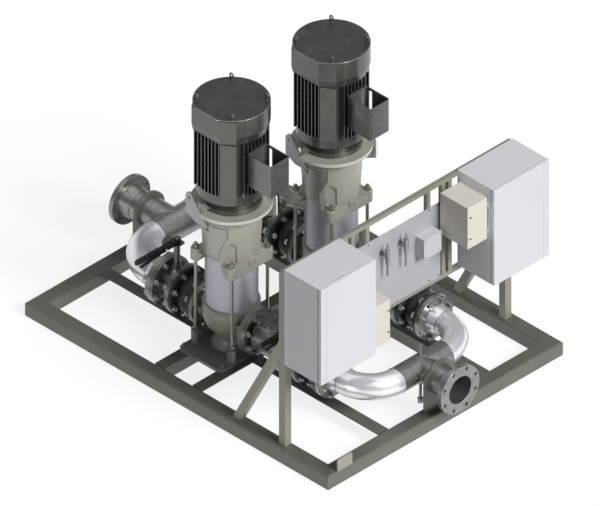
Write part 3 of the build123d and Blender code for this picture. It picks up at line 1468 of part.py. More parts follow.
def cover_hinge(name):
    """Place of a cover's hinge line and the heights where its fixed arms start."""
    fixed, away, low_z, high_z = control_box_places(name)
    hinge_x = CONTROL_BOX_BACK + CONTROL_BOX_DEPTH + COVER_HINGE_OUT
    hinge_y = fixed + away * COVER_HINGE_SIDE
    from_low, from_high = COVER_HINGE_Z
    return hinge_x, hinge_y, (low_z + from_low, high_z - from_high)


def control_boxes():
    """Small enclosures on the inner walls of the cabinets, open to the front."""
    front = CONTROL_BOX_BACK + CONTROL_BOX_DEPTH - COVER_THICKNESS - COVER_GAP
    wall = CONTROL_BOX_WALL
    height = COVER_HINGE_HEIGHT
    with BuildPart() as boxes:
        for name in LINES:
            fixed, away, low_z, high_z = control_box_places(name)
            low_y, high_y = sorted((fixed, fixed + away * CONTROL_BOX_WIDTH))
            block((CONTROL_BOX_BACK, low_y, low_z), (front, high_y, high_z))
            block(
                (CONTROL_BOX_BACK + wall, low_y + wall, low_z + wall),
                (front, high_y - wall, high_z - wall),
                Mode.SUBTRACT,
            )
            hinge_x, hinge_y, heights = cover_hinge(name)
            for z in heights:
                arm = sorted((hinge_y - away * (COVER_BARREL - 0.1), hinge_y + away * (COVER_PIN - 0.4)))
                block((front - 2 * wall, arm[0], z), (hinge_x, arm[1], z + height))
                disc_z(COVER_BARREL, z, z + height, hinge_x, hinge_y)
                disc_z(COVER_PIN, z + height, z + 2 * height + 2 * CUT, hinge_x, hinge_y)
    return boxes


def control_box_cover(name):
    """Lid of a control box with its two hinge barrels and two clamp screws."""
    fixed, away, low_z, high_z = control_box_places(name)
    back = CONTROL_BOX_BACK + CONTROL_BOX_DEPTH - COVER_THICKNESS
    front = back + COVER_THICKNESS
    hinge_x, hinge_y, heights = cover_hinge(name)
    near = hinge_y + away * COVER_HINGE_SIDE / 2
    far = fixed + away * CONTROL_BOX_WIDTH
    low_y, high_y = sorted((near, far))
    with BuildPart() as cover:
        block((back, low_y, low_z), (front, high_y, high_z))
        for z in heights:
            start = z + COVER_HINGE_HEIGHT + COVER_GAP
            end = start + COVER_HINGE_HEIGHT + CUT
            disc_z(COVER_BARREL, start, end, hinge_x, hinge_y)
            arm = sorted((hinge_y, hinge_y + away * 2 * COVER_HINGE_SIDE))
            block((front - CUT, arm[0], start), (hinge_x, arm[1], end))
            bore = COVER_PIN + RUNNING_FIT
            disc_z(bore, start - CUT, end + CUT, hinge_x, hinge_y, Mode.SUBTRACT)
        for z in (low_z + COVER_SCREW_Z, high_z - COVER_SCREW_Z):
            disc_x(COVER_SCREW_RADIUS, front, front + COVER_SCREW_RADIUS, far - away * COVER_SCREW_INSET, z)
    return cover


def shared_pieces():
    """Pieces that stand in their own place on the skid."""
    return {
        "side_rails": side_rails(),
        "end_members": end_members(),
        "inner_angles": inner_angles(),
        "suction_header": suction_header(),
        "discharge_header": discharge_header(),
        "pipe_supports": pipe_supports(),
        "rack_posts": rack_posts(),
        "rack_rails": rack_rails(),
        "rack_braces": rack_braces(),
        "instrument_panel": instrument_panel(),
        "junction_box": junction_box(),
        "pressure_transmitters": pressure_transmitters(),
        "control_boxes": control_boxes(),
    }


def paired_pieces():
    """Fixed pieces with a copy on each line in one node, and their place on the line."""
    suction = connector(SUCTION_CONNECTOR, SIX_INCH, FIVE_INCH)
    discharge = connector(DISCHARGE_CONNECTOR, FIVE_INCH, FIVE_INCH)
    return {
        "suction_connectors": (suction, PUMP_INLET - SUCTION_CONNECTOR, PORT_Z),
        "discharge_connectors": (discharge, DISCHARGE_CONNECTOR_X, PORT_Z),
        "check_valve_bodies": (check_valve_body(), PUMP_OUTLET, PORT_Z),
        "suction_valve_bodies": (valve_body("suction"), SUCTION_VALVE_X, PORT_Z),
        "discharge_valve_bodies": (valve_body("discharge"), DISCHARGE_VALVE_X, PORT_Z),
        "pump_sleeves": (pump_sleeve(), PUMP_X, 0),
        "stage_chambers": (stage_chambers(), PUMP_X, 0),
        "coupling_guards": (coupling_guards(), PUMP_X, 0),
        "lifting_lugs": (lifting_lugs(), PUMP_X, 0),
        "tie_rods": (tie_rods(), PUMP_X, 0),
        "motor_eyebolts": (eyebolts(), PUMP_X, 0),
        "terminal_boxes": (terminal_box(), PUMP_X, 0),
    }


def line_pieces():
    """Pieces with a node of their own on each line, and their place on the line."""
    pieces = {
        "pump_base": (pump_base(), PUMP_X, 0),
        "motor_stool": (motor_stool(), PUMP_X, 0),
        "motor_housing": (motor_housing(), PUMP_X, 0),
        "fan_cowl": (fan_cowl(), PUMP_X, 0),
        "impeller_shaft": (impeller_shaft(), PUMP_X, 0),
        "coupling": (coupling(), PUMP_X, 0),
        "motor_rotor": (motor_rotor(), PUMP_X, 0),
        "check_flap": (check_flap(), PUMP_OUTLET, PORT_Z),
    }
    lever = valve_lever()
    trigger = valve_trigger()
    for kind, x in VALVE_X.items():
        top = PORT_Z + plate_top(kind)
        pieces[f"{kind}_valve_disc"] = (valve_disc(kind), x, PORT_Z)
        pieces[f"{kind}_valve_lever"] = (lever, x, top)
        pieces[f"{kind}_valve_trigger"] = (trigger, x, top)
    return pieces


def main():
    """Build every piece and write its file."""
    for name, piece in shared_pieces().items():
        write(piece, name)
    for name, (piece, x, z) in paired_pieces().items():
        with BuildPart() as pair:
            with Locations(*[(x, side * LINE_Y, z) for side in LINES.values()]):
                add(piece.part)
        write(pair, name)
    pieces = line_pieces()
    for side_name, side in LINES.items():
        for name, (piece, x, z) in pieces.items():
            write(piece, f"{side_name}_{name}", Location((x, side * LINE_Y, z)))
        write(cabinet(side), f"{side_name}_cabinet")
        write(cabinet_door(side), f"{side_name}_cabinet_door")
        write(control_box_cover(side_name), f"{side_name}_control_box_cover")


main()
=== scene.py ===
"""Looks of the feed pump skid: finishes, fasteners, welds, studio and camera.

Metres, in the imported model's own frame: +X is the flow direction and +Z is up.
"""

import json
import math

import bmesh
import bpy
from mathutils import Matrix, Vector

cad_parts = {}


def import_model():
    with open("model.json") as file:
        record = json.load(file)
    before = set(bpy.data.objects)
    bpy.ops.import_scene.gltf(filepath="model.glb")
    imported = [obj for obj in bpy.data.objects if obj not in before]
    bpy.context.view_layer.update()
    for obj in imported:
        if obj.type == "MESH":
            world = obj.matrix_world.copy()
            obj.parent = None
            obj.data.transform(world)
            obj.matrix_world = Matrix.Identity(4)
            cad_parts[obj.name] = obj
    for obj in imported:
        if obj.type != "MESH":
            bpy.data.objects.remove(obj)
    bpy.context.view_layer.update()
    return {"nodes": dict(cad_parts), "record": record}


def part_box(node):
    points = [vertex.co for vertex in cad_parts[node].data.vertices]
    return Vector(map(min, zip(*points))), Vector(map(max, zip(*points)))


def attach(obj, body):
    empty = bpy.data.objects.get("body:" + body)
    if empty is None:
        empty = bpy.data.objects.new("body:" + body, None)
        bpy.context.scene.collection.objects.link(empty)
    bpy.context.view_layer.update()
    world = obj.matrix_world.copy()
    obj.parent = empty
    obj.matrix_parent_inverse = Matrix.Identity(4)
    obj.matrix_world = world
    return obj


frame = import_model()

# Driving sizes: height of the ports, pump lines left and right of the middle, and the pumps' place
PORT_Z = 0.265
LINE_Y = 0.364
PUMP_X = -0.091
SIDES = {"left": -1, "right": 1}
MM = 0.001

# Flange sizes: bolt circle, stud radius, nut width across flats, nut height, flange thickness
SIX_INCH = {"pcd": 241.3 * MM, "stud": 9.5 * MM, "flats": 30 * MM, "nut": 17 * MM, "thick": 25.4 * MM}
FIVE_INCH = {"pcd": 215.9 * MM, "stud": 9.5 * MM, "flats": 30 * MM, "nut": 17 * MM, "thick": 23.9 * MM}
RING_THICKNESS = 20 * MM
FLANGE_BOLTS = 8

# Pipe radii, elbow bends, neck length, supports and reducer, for the welds
PIPE_RADIUS = {"six": 84.15 * MM, "five": 70.65 * MM}
BEND = {"six": 228.6 * MM, "five": 190.5 * MM}
NECK = 88.9 * MM
SUPPORT_X = 1059 * MM
SUPPORT_HALF = 7.5 * MM
SUPPORT_GAP = 3 * MM
REDUCER = 45 * MM

# Half length of the tees along Y, and stretches along X where the headers are dark forged steel
TEE_REACH = {"six": 135.4 * MM, "five": 173.5 * MM}
FORGED_STRETCHES = ((-1.3, -0.962), (-0.602, 0.672), (0.992, 1.3))

# Pump base: radius of the painted bowl, heights over which it fades in, foot plate and its bolts
BOWL_RADIUS = 178 * MM
BOWL_FADE = (165 * MM, 235 * MM)
FOOT_TOP = 109 * MM
FOOT_BOLTS = (140 * MM, 205 * MM)

# Motor stool's flange rim, which gets a painted highlight, and the top edge of the fan cowl with its flat
# side
STOOL_RIM = 215 * MM
STOOL_RIM_BOTTOM = 986 * MM
COWL_RIM = 200 * MM
COWL_FLAT = 185 * MM
COWL_TOP = 1630 * MM
COWL_POINTS = 160

# Check valve cover: its middle along X, its top over the port, and its bolts
COVER_CENTRE = 127 * MM
COVER_TOP = 134 * MM
COVER_CIRCLE = 84 * MM
COVER_BOLTS = 8

# Frame tube, length of a brace's foot along X, place of the rack's struts, ends of the inner angles
TUBE = 88.9 * MM
BRACE_FOOT = 50.8 * MM
STRUT_Y = 222 * MM
ANGLE_START = 330 * MM
ANGLE_WIDTH = 74 * MM

# Earthing plate at the outlet end: its stretch along Y, thickness, skin and cut corners
EARTH_PLATE_Y = (-787 * MM, -680 * MM)
EARTH_PLATE = 6 * MM
SKIN = 0.4 * MM
SKIN_CORNER = 4 * MM

# Screws: radius and height of the head, and its distance from the edges
PANEL_SCREW = {"radius": 5 * MM, "height": 2.5 * MM}
PANEL_INSET = 14 * MM
LID_SCREW = {"radius": 4 * MM, "height": 2 * MM}
LID_INSET = 11 * MM
CLAMP_SCREW = {"radius": 5.4 * MM, "height": 1.2 * MM}
CLAMP_INSET = 16 * MM
CLAMP_FROM_END = 62 * MM

# Fasteners: points round a nut, its chamfer and face, washer, and the thread of a stud
NUT_POINTS = 24
NUT_CHAMFER = 0.58
NUT_FACE = 0.47
WASHER_REACH = 0.62
WASHER = 3 * MM
THREAD_POINTS = 16
THREAD_PITCH = 2.5 * MM
THREAD_ROOT = 0.9
STUD_TIP = 0.75
STUD_CHAMFER = 0.5 * MM

# Weld beads: radius of each kind, hollow of the ripple, points round the bead and along its path
PIPE_BEAD = 2.4 * MM
FOOT_BEAD = 2.5 * MM
ANGLE_BEAD = 1.5 * MM
MITRE_BEAD = 1.1 * MM
MITRE_INSET = 9 * MM
COWL_BEAD = 3.2 * MM
RIPPLE = 0.82
BEAD_POINTS = 8
RING_POINTS = 72
BEAD_PITCH = 6 * MM
SADDLE_SINK = 0.3 * MM

# View of the photograph: a true isometric view over the outlet end's front corner
VIEW_TARGET = Vector((-0.1528, 0.1965, 0.3493))
VIEW_WIDTH = 3.0928
VIEW_DISTANCE = 8.0
VIEW_REACH = 60

# Light: sun lamps with the directions they come from, and an even ambient level
AMBIENT = 0.09
AMBIENT_COLOUR = (0.97, 0.98, 1.0, 1)
LAMPS = {
    "key": {"strength": 3.1, "toward": (0.80, 0.02, 0.60), "angle": 25, "shine": True},
    "side": {"strength": 0.5, "toward": (0.03, -1.0, 0.05), "angle": 8, "shine": True},
    "back": {"strength": 0.6, "toward": (-0.68, 0.68, 0.28), "angle": 25, "shine": False},
}

# Room seen in reflections: (height share, level) bands, and a white panel beyond the inlet end
ROOM_BANDS = ((0.0, 0.9), (0.5, 0.6), (0.58, 0.17), (0.82, 0.17), (0.9, 0.9), (1.0, 1.2))
PANEL_EDGE = (-0.75, -0.95)
PANEL_LIGHT = (1.2, 1.2, 1.25, 1)

# Floor: half its length, its glow to the camera and its own colour
FLOOR_REACH = 30
FLOOR_GLOW = 0.83
FLOOR_COLOUR = (0.25, 0.25, 0.255, 1)

# Surface detail: noise values that looks are spread over, the span of the edge mask that places painted edge
# highlights, and depths of bumps
NOISE_SPAN = (0.3, 0.7)
EDGE_SPAN = (0.995, 0.85)
FINE = 0.3 * MM
FINEST = 0.2 * MM
COARSE = 0.8 * MM
CAST_EDGE = 2.5 * MM
SHARP_ANGLE = math.radians(35)

# Painted and powder-coated finishes, in 8-bit sRGB, with the edge radius in millimetres and how much lighter
# the painted highlight on the edges is
PAINTS = {
    "frame_paint": dict(colour=(118, 116, 108), rough=0.34, metallic=0.35, edge_highlight=1.35),
    "support_steel": dict(colour=(118, 118, 110), rough=0.38, metallic=0.4),
    "rack_paint": dict(colour=(156, 153, 139), rough=0.4, metallic=0.2, edge_highlight=1.2),
    "enclosure_white": dict(
        colour=(230, 230, 236), rough=0.4, edge_highlight=1.04, edge=1.5, peel=0.1, tone=0.012
    ),
    "junction_grey": dict(
        colour=(208, 207, 212), rough=0.45, edge_highlight=1.06, edge=1.0, peel=0.1, tone=0.02
    ),
    "enclosure_cream": dict(colour=(232, 227, 216), rough=0.45, edge_highlight=1.05, peel=0.12, tone=0.02),
    "motor_paint": dict(
        colour=(106, 106, 101), rough=0.27, metallic=0.72, edge_highlight=1.5, peel=0.05, tone=0.03
    ),
    "terminal_paint": dict(
        colour=(122, 122, 119), rough=0.3, metallic=0.6, edge_highlight=1.4, peel=0.05, tone=0.03
    ),
    "lever_black": dict(colour=(40, 40, 40), rough=0.32, metallic=0.3, edge_highlight=1.8),
    "frame_weld": dict(colour=(96, 93, 84), rough=0.4, metallic=0.2),
    "panel_steel": dict(
        colour=(184, 183, 190), rough=0.42, metallic=0.1, edge_highlight=1.04, edge=1.0, peel=0.1, tone=0.015
    ),
    # Lighter copy of the motor paint for the cowls' rolled edges, a painted highlight
    "cowl_edge_highlight": dict(colour=(150, 150, 146), rough=0.22, metallic=0.8, edge_highlight=1.3),
    "plate_beige": dict(colour=(172, 168, 154), rough=0.45, metallic=0.1),
}

# Brushed, drawn and plated steels; stretch is how much finer the lines are along each axis
STEELS = {
    "transmitter_shell": dict(colour=(160, 160, 164), rough=0.3, stretch=(1, 1, 8), lines=0.05),
    "sleeve_steel": dict(
        colour=(202, 200, 211), rough=0.46, stretch=(1, 1, 40), lines=0.06, tone=0.03, scale=18, metallic=0.45
    ),
    "guard_steel": dict(colour=(160, 158, 152), rough=0.42, stretch=(1, 1, 30), lines=0.1),
    "rod_steel": dict(colour=(150, 150, 142), rough=0.35, stretch=(1, 1, 0.1), lines=0.15),
    "machined_steel": dict(colour=(188, 188, 190), rough=0.3, stretch=(1, 1, 20), lines=0.1),
    "bolt_steel": dict(colour=(146, 146, 142), rough=0.3, lines=0.1, tone=0.12, scale=200),
    "weld_steel": dict(colour=(140, 138, 134), rough=0.4, lines=0.2, tone=0.15, scale=150),
    "screw_dark": dict(colour=(84, 84, 84), rough=0.35, lines=0.1, tone=0.1, scale=200),
}

# Nodes whose finish differs a little from that of their slot
NODE_FINISH = {"instrument_panel": "panel_steel", "terminal_boxes": "terminal_paint"}


# Node trees
class Nodes:
    """Short ways to build a node tree."""

    def __init__(self, tree):
        self.tree = tree

    def node(self, kind, **settings):
        """New node with some of its plain settings."""
        node = self.tree.nodes.new(kind)
        for key, value in settings.items():
            setattr(node, key, value)
        return node

    def link(self, source, target):
        """Link two sockets."""
        self.tree.links.new(source, target)

    def math(self, operation, *values):
        """Result of a sum on sockets or plain numbers."""
        node = self.node("ShaderNodeMath", operation=operation)
        for value, socket in zip(values, node.inputs):
            if isinstance(value, (int, float)):
                socket.default_value = value
            else:
                self.link(value, socket)
        return node.outputs[0]

    def remap(self, value, source=(0, 1), result=(0, 1)):
        """A value moved from one range to another, and held inside it."""
        node = self.node("ShaderNodeMapRange")
        for name, number in zip(("From Min", "From Max", "To Min", "To Max"), (*source, *result)):
            node.inputs[name].default_value = number
        self.link(value, node.inputs["Value"])
        return node.outputs["Result"]

    def ramp(self, value, stops):
        """Colour along a value, from (place, colour) stops."""
        ramp = self.node("ShaderNodeValToRGB")
        elements = ramp.color_ramp.elements
        while len(elements) < len(stops):
            elements.new(0.5)
        for element, (place, colour) in zip(elements, stops):
            element.position = place
            element.color = colour
        self.link(value, ramp.inputs["Fac"])
        return ramp.outputs["Color"]

    def mix(self, share, first, second):
        """Mix of two colours by a value."""
        mix = self.node("ShaderNodeMix", data_type="RGBA")
        self.link(share, mix.inputs["Factor"])
        for colour, socket in ((first, mix.inputs["A"]), (second, mix.inputs["B"])):
            if isinstance(colour, tuple):
                socket.default_value = colour
            else:
                self.link(colour, socket)
        return mix.outputs["Result"]


class Finish(Nodes):
    """A procedural material built from a few named looks."""

    def __init__(self, name, roughness=0.5, metallic=0.0, specular=0.5):
        self.material = bpy.data.materials.new(name)
        self.material.use_nodes = True
        super().__init__(self.material.node_tree)
        self.shader = self.tree.nodes["Principled BSDF"]
        self.shader.inputs["Roughness"].default_value = roughness
        self.shader.inputs["Metallic"].default_value = metallic
        self.shader.inputs["Specular IOR Level"].default_value = specular
        self.place = self.node("ShaderNodeTexCoord").outputs["Object"]

    def noise(self, scale, detail, stretch=(1, 1, 1)):
        """Noise value over the object's own coordinates, stretched along its axes."""
        mapping = self.node("ShaderNodeMapping")
        mapping.inputs["Scale"].default_value = stretch
        self.link(self.place, mapping.inputs["Vector"])
        texture = self.node("ShaderNodeTexNoise")
        texture.inputs["Scale"].default_value = scale
        texture.inputs["Detail"].default_value = detail
        self.link(mapping.outputs["Vector"], texture.inputs["Vector"])
        return texture.outputs["Fac"]

    def tones(self, noise, low, high):
        """Colour that drifts between two tones with a noise."""
        return self.ramp(noise, tuple(zip(NOISE_SPAN, (low, high))))

    def edge(self, radius):
        """Rounded normal at edges, and how strongly a point lies on an edge, which the finishes use for
        painted edge highlights.
        """
        bevel = self.node("ShaderNodeBevel", samples=4)
        bevel.inputs["Radius"].default_value = radius
        geometry = self.node("ShaderNodeNewGeometry")
        dot = self.node("ShaderNodeVectorMath", operation="DOT_PRODUCT")
        self.link(bevel.outputs["Normal"], dot.inputs[0])
        self.link(geometry.outputs["Normal"], dot.inputs[1])
        return bevel.outputs["Normal"], self.remap(dot.outputs["Value"], EDGE_SPAN)

    def bump(self, height, strength, distance, normal=None):
        """Bump from a height value on top of another normal."""
        bump = self.node("ShaderNodeBump")
        bump.inputs["Strength"].default_value = strength
        bump.inputs["Distance"].default_value = distance
        self.link(height, bump.inputs["Height"])
        if normal is not None:
            self.link(normal, bump.inputs["Normal"])
        return bump.outputs["Normal"]

    def axes(self):
        """The object's own coordinates, split."""
        split = self.node("ShaderNodeSeparateXYZ")
        self.link(self.place, split.inputs[0])
        return split.outputs

    def off_pump_axis(self, x, y):
        """Square of the distance from the axis of the pump on the same side."""
        across = self.math("SUBTRACT", self.math("ABSOLUTE", y), LINE_Y)
        ahead = self.math("SUBTRACT", x, PUMP_X)
        return self.math("ADD", self.math("MULTIPLY", across, across), self.math("MULTIPLY", ahead, ahead))

    def colour(self, socket):
        """Set the base colour."""
        self.link(socket, self.shader.inputs["Base Color"])

    def rough(self, noise, low, high):
        """Vary the roughness between two values."""
        self.link(self.remap(noise, NOISE_SPAN, (low, high)), self.shader.inputs["Roughness"])

    def normal(self, socket):
        """Set the shading normal."""
        self.link(socket, self.shader.inputs["Normal"])

    def sand(self, normal, coarse, fine):
        """Sand-cast surface: coarse bumps with fine ones on top."""
        under = self.bump(self.noise(scale=120, detail=4), coarse, COARSE, normal)
        self.normal(self.bump(self.noise(scale=600, detail=2), fine, FINE, under))


# Materials
def srgb(red, green, blue):
    """Linear colour of an 8-bit sRGB one."""
    linear = []
    for value in (red, green, blue):
        share = value / 255
        linear.append(share / 12.92 if share <= 0.04045 else ((share + 0.055) / 1.055) ** 2.4)
    return (*linear, 1.0)


def scaled(colour, factor):
    """A colour made lighter or darker."""
    return (*[min(1.0, channel * factor) for channel in colour[:3]], 1.0)


def coated(name, colour, rough, metallic=0.0, edge_highlight=1.25, edge=1.2, peel=0.15, tone=0.06):
    """Paint or powder coat with a little tone drift, orange peel and a painted highlight on the edges."""
    finish = Finish(name, metallic=metallic)
    paint = srgb(*colour)
    drift = finish.noise(scale=3.5, detail=4)
    base = finish.tones(drift, scaled(paint, 1 - tone), scaled(paint, 1 + tone))
    normal, on_edge = finish.edge(edge * MM)
    # Lighter colour on the edges is a painted highlight
    finish.colour(finish.mix(on_edge, base, scaled(paint, edge_highlight)))
    finish.rough(finish.noise(scale=14, detail=3), rough - 0.06, rough + 0.06)
    finish.normal(finish.bump(finish.noise(scale=420, detail=2), peel, FINE, normal))
    return finish.material


def brushed(name, colour, rough, stretch=(1, 1, 1), lines=0.12, tone=0.08, scale=60, metallic=1.0):
    """Brushed, drawn or plated steel with fine lines along one direction."""
    finish = Finish(name, metallic=metallic)
    steel = srgb(*colour)
    drawn = finish.noise(scale, detail=5, stretch=stretch)
    base = finish.tones(drawn, scaled(steel, 1 - tone), scaled(steel, 1 + tone))
    normal, on_edge = finish.edge(1.2 * MM)
    # Lighter colour on the edges is a painted highlight
    finish.colour(finish.mix(on_edge, base, scaled(steel, 1.3)))
    finish.rough(drawn, rough - 0.07, rough + 0.07)
    finish.normal(finish.bump(drawn, lines, FINE, normal))
    return finish.material


def valve_casting(name):
    """Dark painted casting with a sand-cast grain and a painted highlight on the edges."""
    finish = Finish(name, metallic=0.65)
    paint = srgb(128, 128, 124)
    base = finish.tones(finish.noise(scale=9, detail=6), scaled(paint, 0.9), scaled(paint, 1.1))
    normal, on_edge = finish.edge(CAST_EDGE)
    # Lighter colour on the edges is a painted highlight
    finish.colour(finish.mix(on_edge, base, scaled(paint, 1.2)))
    finish.rough(finish.noise(scale=40, detail=3), 0.22, 0.4)
    finish.sand(normal, coarse=0.35, fine=0.21)
    return finish.material


def moulded_rubber(name):
    """Moulded rubber with a fine fabric imprint."""
    finish = Finish(name, specular=0.35)
    colour = srgb(60, 60, 60)
    finish.colour(finish.tones(finish.noise(scale=12, detail=4), scaled(colour, 0.8), scaled(colour, 1.3)))
    normal, _ = finish.edge(2 * MM)
    finish.rough(finish.noise(scale=30, detail=3), 0.42, 0.6)
    finish.normal(finish.bump(finish.noise(scale=900, detail=2), 0.35, FINE, normal))
    return finish.material


def forged_share(finish):
    """1 where a header is forged steel (flanges, tees and reducer) and 0 where it is bright pipe."""
    x, y, _ = finish.axes()
    outlet_side = finish.math("GREATER_THAN", x, 0.0)
    reach = finish.math("MULTIPLY", outlet_side, TEE_REACH["five"] - TEE_REACH["six"])
    reach = finish.math("ADD", reach, TEE_REACH["six"])
    share = finish.math("LESS_THAN", finish.math("ABSOLUTE", y), reach)
    for low, high in FORGED_STRETCHES:
        inside = finish.math("COMPARE", x, (low + high) / 2, (high - low) / 2)
        share = finish.math("MAXIMUM", share, inside)
    return share


def header_steel(name):
    """Bright stainless pipe with darker forged flanges, necks and tee outlets."""
    finish = Finish(name)
    forged = forged_share(finish)
    lines = finish.noise(scale=25, detail=5)
    bright = finish.tones(lines, srgb(240, 240, 247), srgb(247, 247, 253))
    dark = finish.tones(finish.noise(scale=30, detail=4), srgb(138, 138, 135), srgb(160, 160, 156))
    normal, on_edge = finish.edge(1.5 * MM)
    base = finish.mix(forged, bright, dark)
    # Near-white colour on the edges is a painted highlight
    finish.colour(finish.mix(on_edge, base, srgb(236, 236, 238)))
    finish.link(finish.remap(forged, result=(0.24, 0.34)), finish.shader.inputs["Roughness"])
    finish.link(finish.remap(forged, result=(0.56, 0.8)), finish.shader.inputs["Metallic"])
    under = finish.bump(lines, 0.03, FINE, normal)
    finish.normal(finish.bump(finish.noise(scale=400, detail=2), 0.05, FINEST, under))
    return finish.material


def pump_casting(name):
    """Pump base: painted bowl under the sleeve, black foot plate, columns and ports."""
    finish = Finish(name, metallic=0.15)
    x, y, z = finish.axes()
    near = finish.math("LESS_THAN", finish.off_pump_axis(x, y), BOWL_RADIUS**2)
    # The bowl's paint fades into the foot's dark colour towards the bottom, between the heights of BOWL_FADE
    bowl = finish.math("MULTIPLY", near, finish.remap(z, BOWL_FADE))
    drift = finish.noise(scale=9, detail=6)
    black = finish.tones(drift, srgb(134, 134, 130), srgb(146, 146, 141))
    paint = finish.tones(drift, srgb(166, 163, 147), srgb(178, 175, 160))
    normal, on_edge = finish.edge(CAST_EDGE)
    base = finish.mix(bowl, black, paint)
    # Lighter colour on the edges is a painted highlight
    finish.colour(finish.mix(on_edge, base, srgb(170, 168, 156)))
    finish.rough(finish.noise(scale=40, detail=3), 0.34, 0.5)
    finish.sand(normal, coarse=0.4, fine=0.3)
    return finish.material


def stool_casting(name):
    """Painted casting of the motor stool, with a painted highlight on the rim of its top flange and on its
    edges.
    """
    finish = Finish(name, metallic=0.3)
    x, y, z = finish.axes()
    # The top flange's rim is painted near-white as a highlight
    flange_rim_highlight = finish.math("GREATER_THAN", finish.off_pump_axis(x, y), STOOL_RIM**2)
    flange_rim_highlight = finish.math("MULTIPLY", flange_rim_highlight, finish.math("GREATER_THAN", z, STOOL_RIM_BOTTOM))
    paint = finish.tones(finish.noise(scale=9, detail=6), srgb(180, 177, 165), srgb(190, 187, 176))
    normal, on_edge = finish.edge(CAST_EDGE)
    # Lighter colour on the edges is a painted highlight
    base = finish.mix(on_edge, paint, srgb(212, 210, 200))
    finish.colour(finish.mix(flange_rim_highlight, base, srgb(222, 221, 215)))
    finish.rough(finish.noise(scale=40, detail=3), 0.42, 0.58)
    finish.sand(normal, coarse=0.25, fine=0.2)
    return finish.material


def lug_plate(name):
    """Grey lug plates with a painted highlight on their edge faces, which are the faces that don't look along
    Y.
    """
    finish = Finish(name, roughness=0.4, metallic=0.35)
    geometry = finish.node("ShaderNodeNewGeometry")
    split = finish.node("ShaderNodeSeparateXYZ")
    finish.link(geometry.outputs["Normal"], split.inputs[0])
    # Faces that don't look along Y are painted near-white as a highlight
    edge_face_highlight = finish.math("LESS_THAN", finish.math("ABSOLUTE", split.outputs["Y"]), 0.7)
    face = finish.tones(finish.noise(scale=20, detail=4), srgb(186, 186, 184), srgb(198, 198, 196))
    finish.colour(finish.mix(edge_face_highlight, face, srgb(240, 240, 240)))
    finish.normal(finish.bump(finish.noise(scale=300, detail=3), 0.1, FINE))
    return finish.material


def make_finishes():
    """One material for each of the record's slots, and those of the added pieces."""
    special = {
        "pipe_steel": header_steel,
        "rubber_black": moulded_rubber,
        "valve_cast": valve_casting,
        "lug_steel": lug_plate,
        "pump_cast": pump_casting,
        "stool_paint": stool_casting,
    }
    finishes = {name: coated(name, **look) for name, look in PAINTS.items()}
    finishes.update({name: brushed(name, **look) for name, look in STEELS.items()})
    finishes.update({name: make(name) for name, make in special.items()})
    return finishes


def dress_nodes(finishes):
    """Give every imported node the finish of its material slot."""
    slots = {row["node"]: row["material_slot"] for row in frame["record"]["subparts"]}
    for name, node in frame["nodes"].items():
        node.data.materials.clear()
        node.data.materials.append(finishes[NODE_FINISH.get(name, slots[name])])


# Mesh building
def new_piece(name, mesh, finish, body="skid"):
    """Object from a bmesh that rides on a body, with its finish."""
    bmesh.ops.recalc_face_normals(mesh, faces=mesh.faces)
    data = bpy.data.meshes.new(name)
    mesh.to_mesh(data)
    mesh.free()
    data.shade_smooth()
    data.set_sharp_from_angle(angle=SHARP_ANGLE)
    data.materials.append(finish)
    piece = bpy.data.objects.new(name, data)
    bpy.context.scene.collection.objects.link(piece)
    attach(piece, body)
    return piece


def loft(mesh, rings, place=Matrix.Identity(4)):
    """Skin over rings of equally many points, closed at both ends."""
    rows = [[mesh.verts.new(place @ Vector(point)) for point in ring] for ring in rings]
    count = len(rows[0])
    for low, high in zip(rows, rows[1:]):
        for index in range(count):
            after = (index + 1) % count
            mesh.faces.new((low[index], low[after], high[after], high[index]))
    mesh.faces.new(rows[0])
    mesh.faces.new(list(reversed(rows[-1])))


def circle(radius, height, count=NUT_POINTS):
    """Ring of points round +Z."""
    step = math.tau / count
    return [(radius * math.cos(step * i), radius * math.sin(step * i), height) for i in range(count)]


def hexagon(flats, height, lower=0.0):
    """Ring of points on a hexagon; lower drops the corners for a chamfer."""
    points = []
    for index in range(NUT_POINTS):
        angle = math.tau * index / NUT_POINTS
        turn = (angle + math.pi / 6) % (math.pi / 3) - math.pi / 6
        radius = flats / 2 / math.cos(turn)
        drop = lower * (radius - flats / 2)
        points.append((radius * math.cos(angle), radius * math.sin(angle), height - drop))
    return points


def hex_nut(mesh, place, flats, height):
    """Hexagon nut or head with chamfered corners, standing on z = 0."""
    rings = [
        circle(flats * NUT_FACE, 0),
        hexagon(flats, 0, -NUT_CHAMFER),
        hexagon(flats, height, NUT_CHAMFER),
        circle(flats * NUT_FACE, height),
    ]
    loft(mesh, rings, place)


def washer(mesh, place, radius, thickness):
    """Flat washer standing on z = 0."""
    loft(mesh, [circle(radius, 0), circle(radius, thickness)], place)


def stud_end(mesh, place, radius, length):
    """End of a threaded stud, standing on z = 0."""
    rings = [circle(radius * THREAD_ROOT, 0, THREAD_POINTS)]
    for turn in range(max(1, int(length / THREAD_PITCH))):
        for share, reach in ((0.25, radius), (0.5, radius), (0.75, radius * THREAD_ROOT)):
            rings.append(circle(reach, THREAD_PITCH * (turn + share), THREAD_POINTS))
    rings.append(circle(radius * STUD_TIP, length + STUD_CHAMFER, THREAD_POINTS))
    loft(mesh, rings, place)


def along(origin, direction):
    """Placement that stands +Z of a piece along a direction."""
    return Matrix.Translation(origin) @ Vector(direction).to_track_quat("Z", "Y").to_matrix().to_4x4()


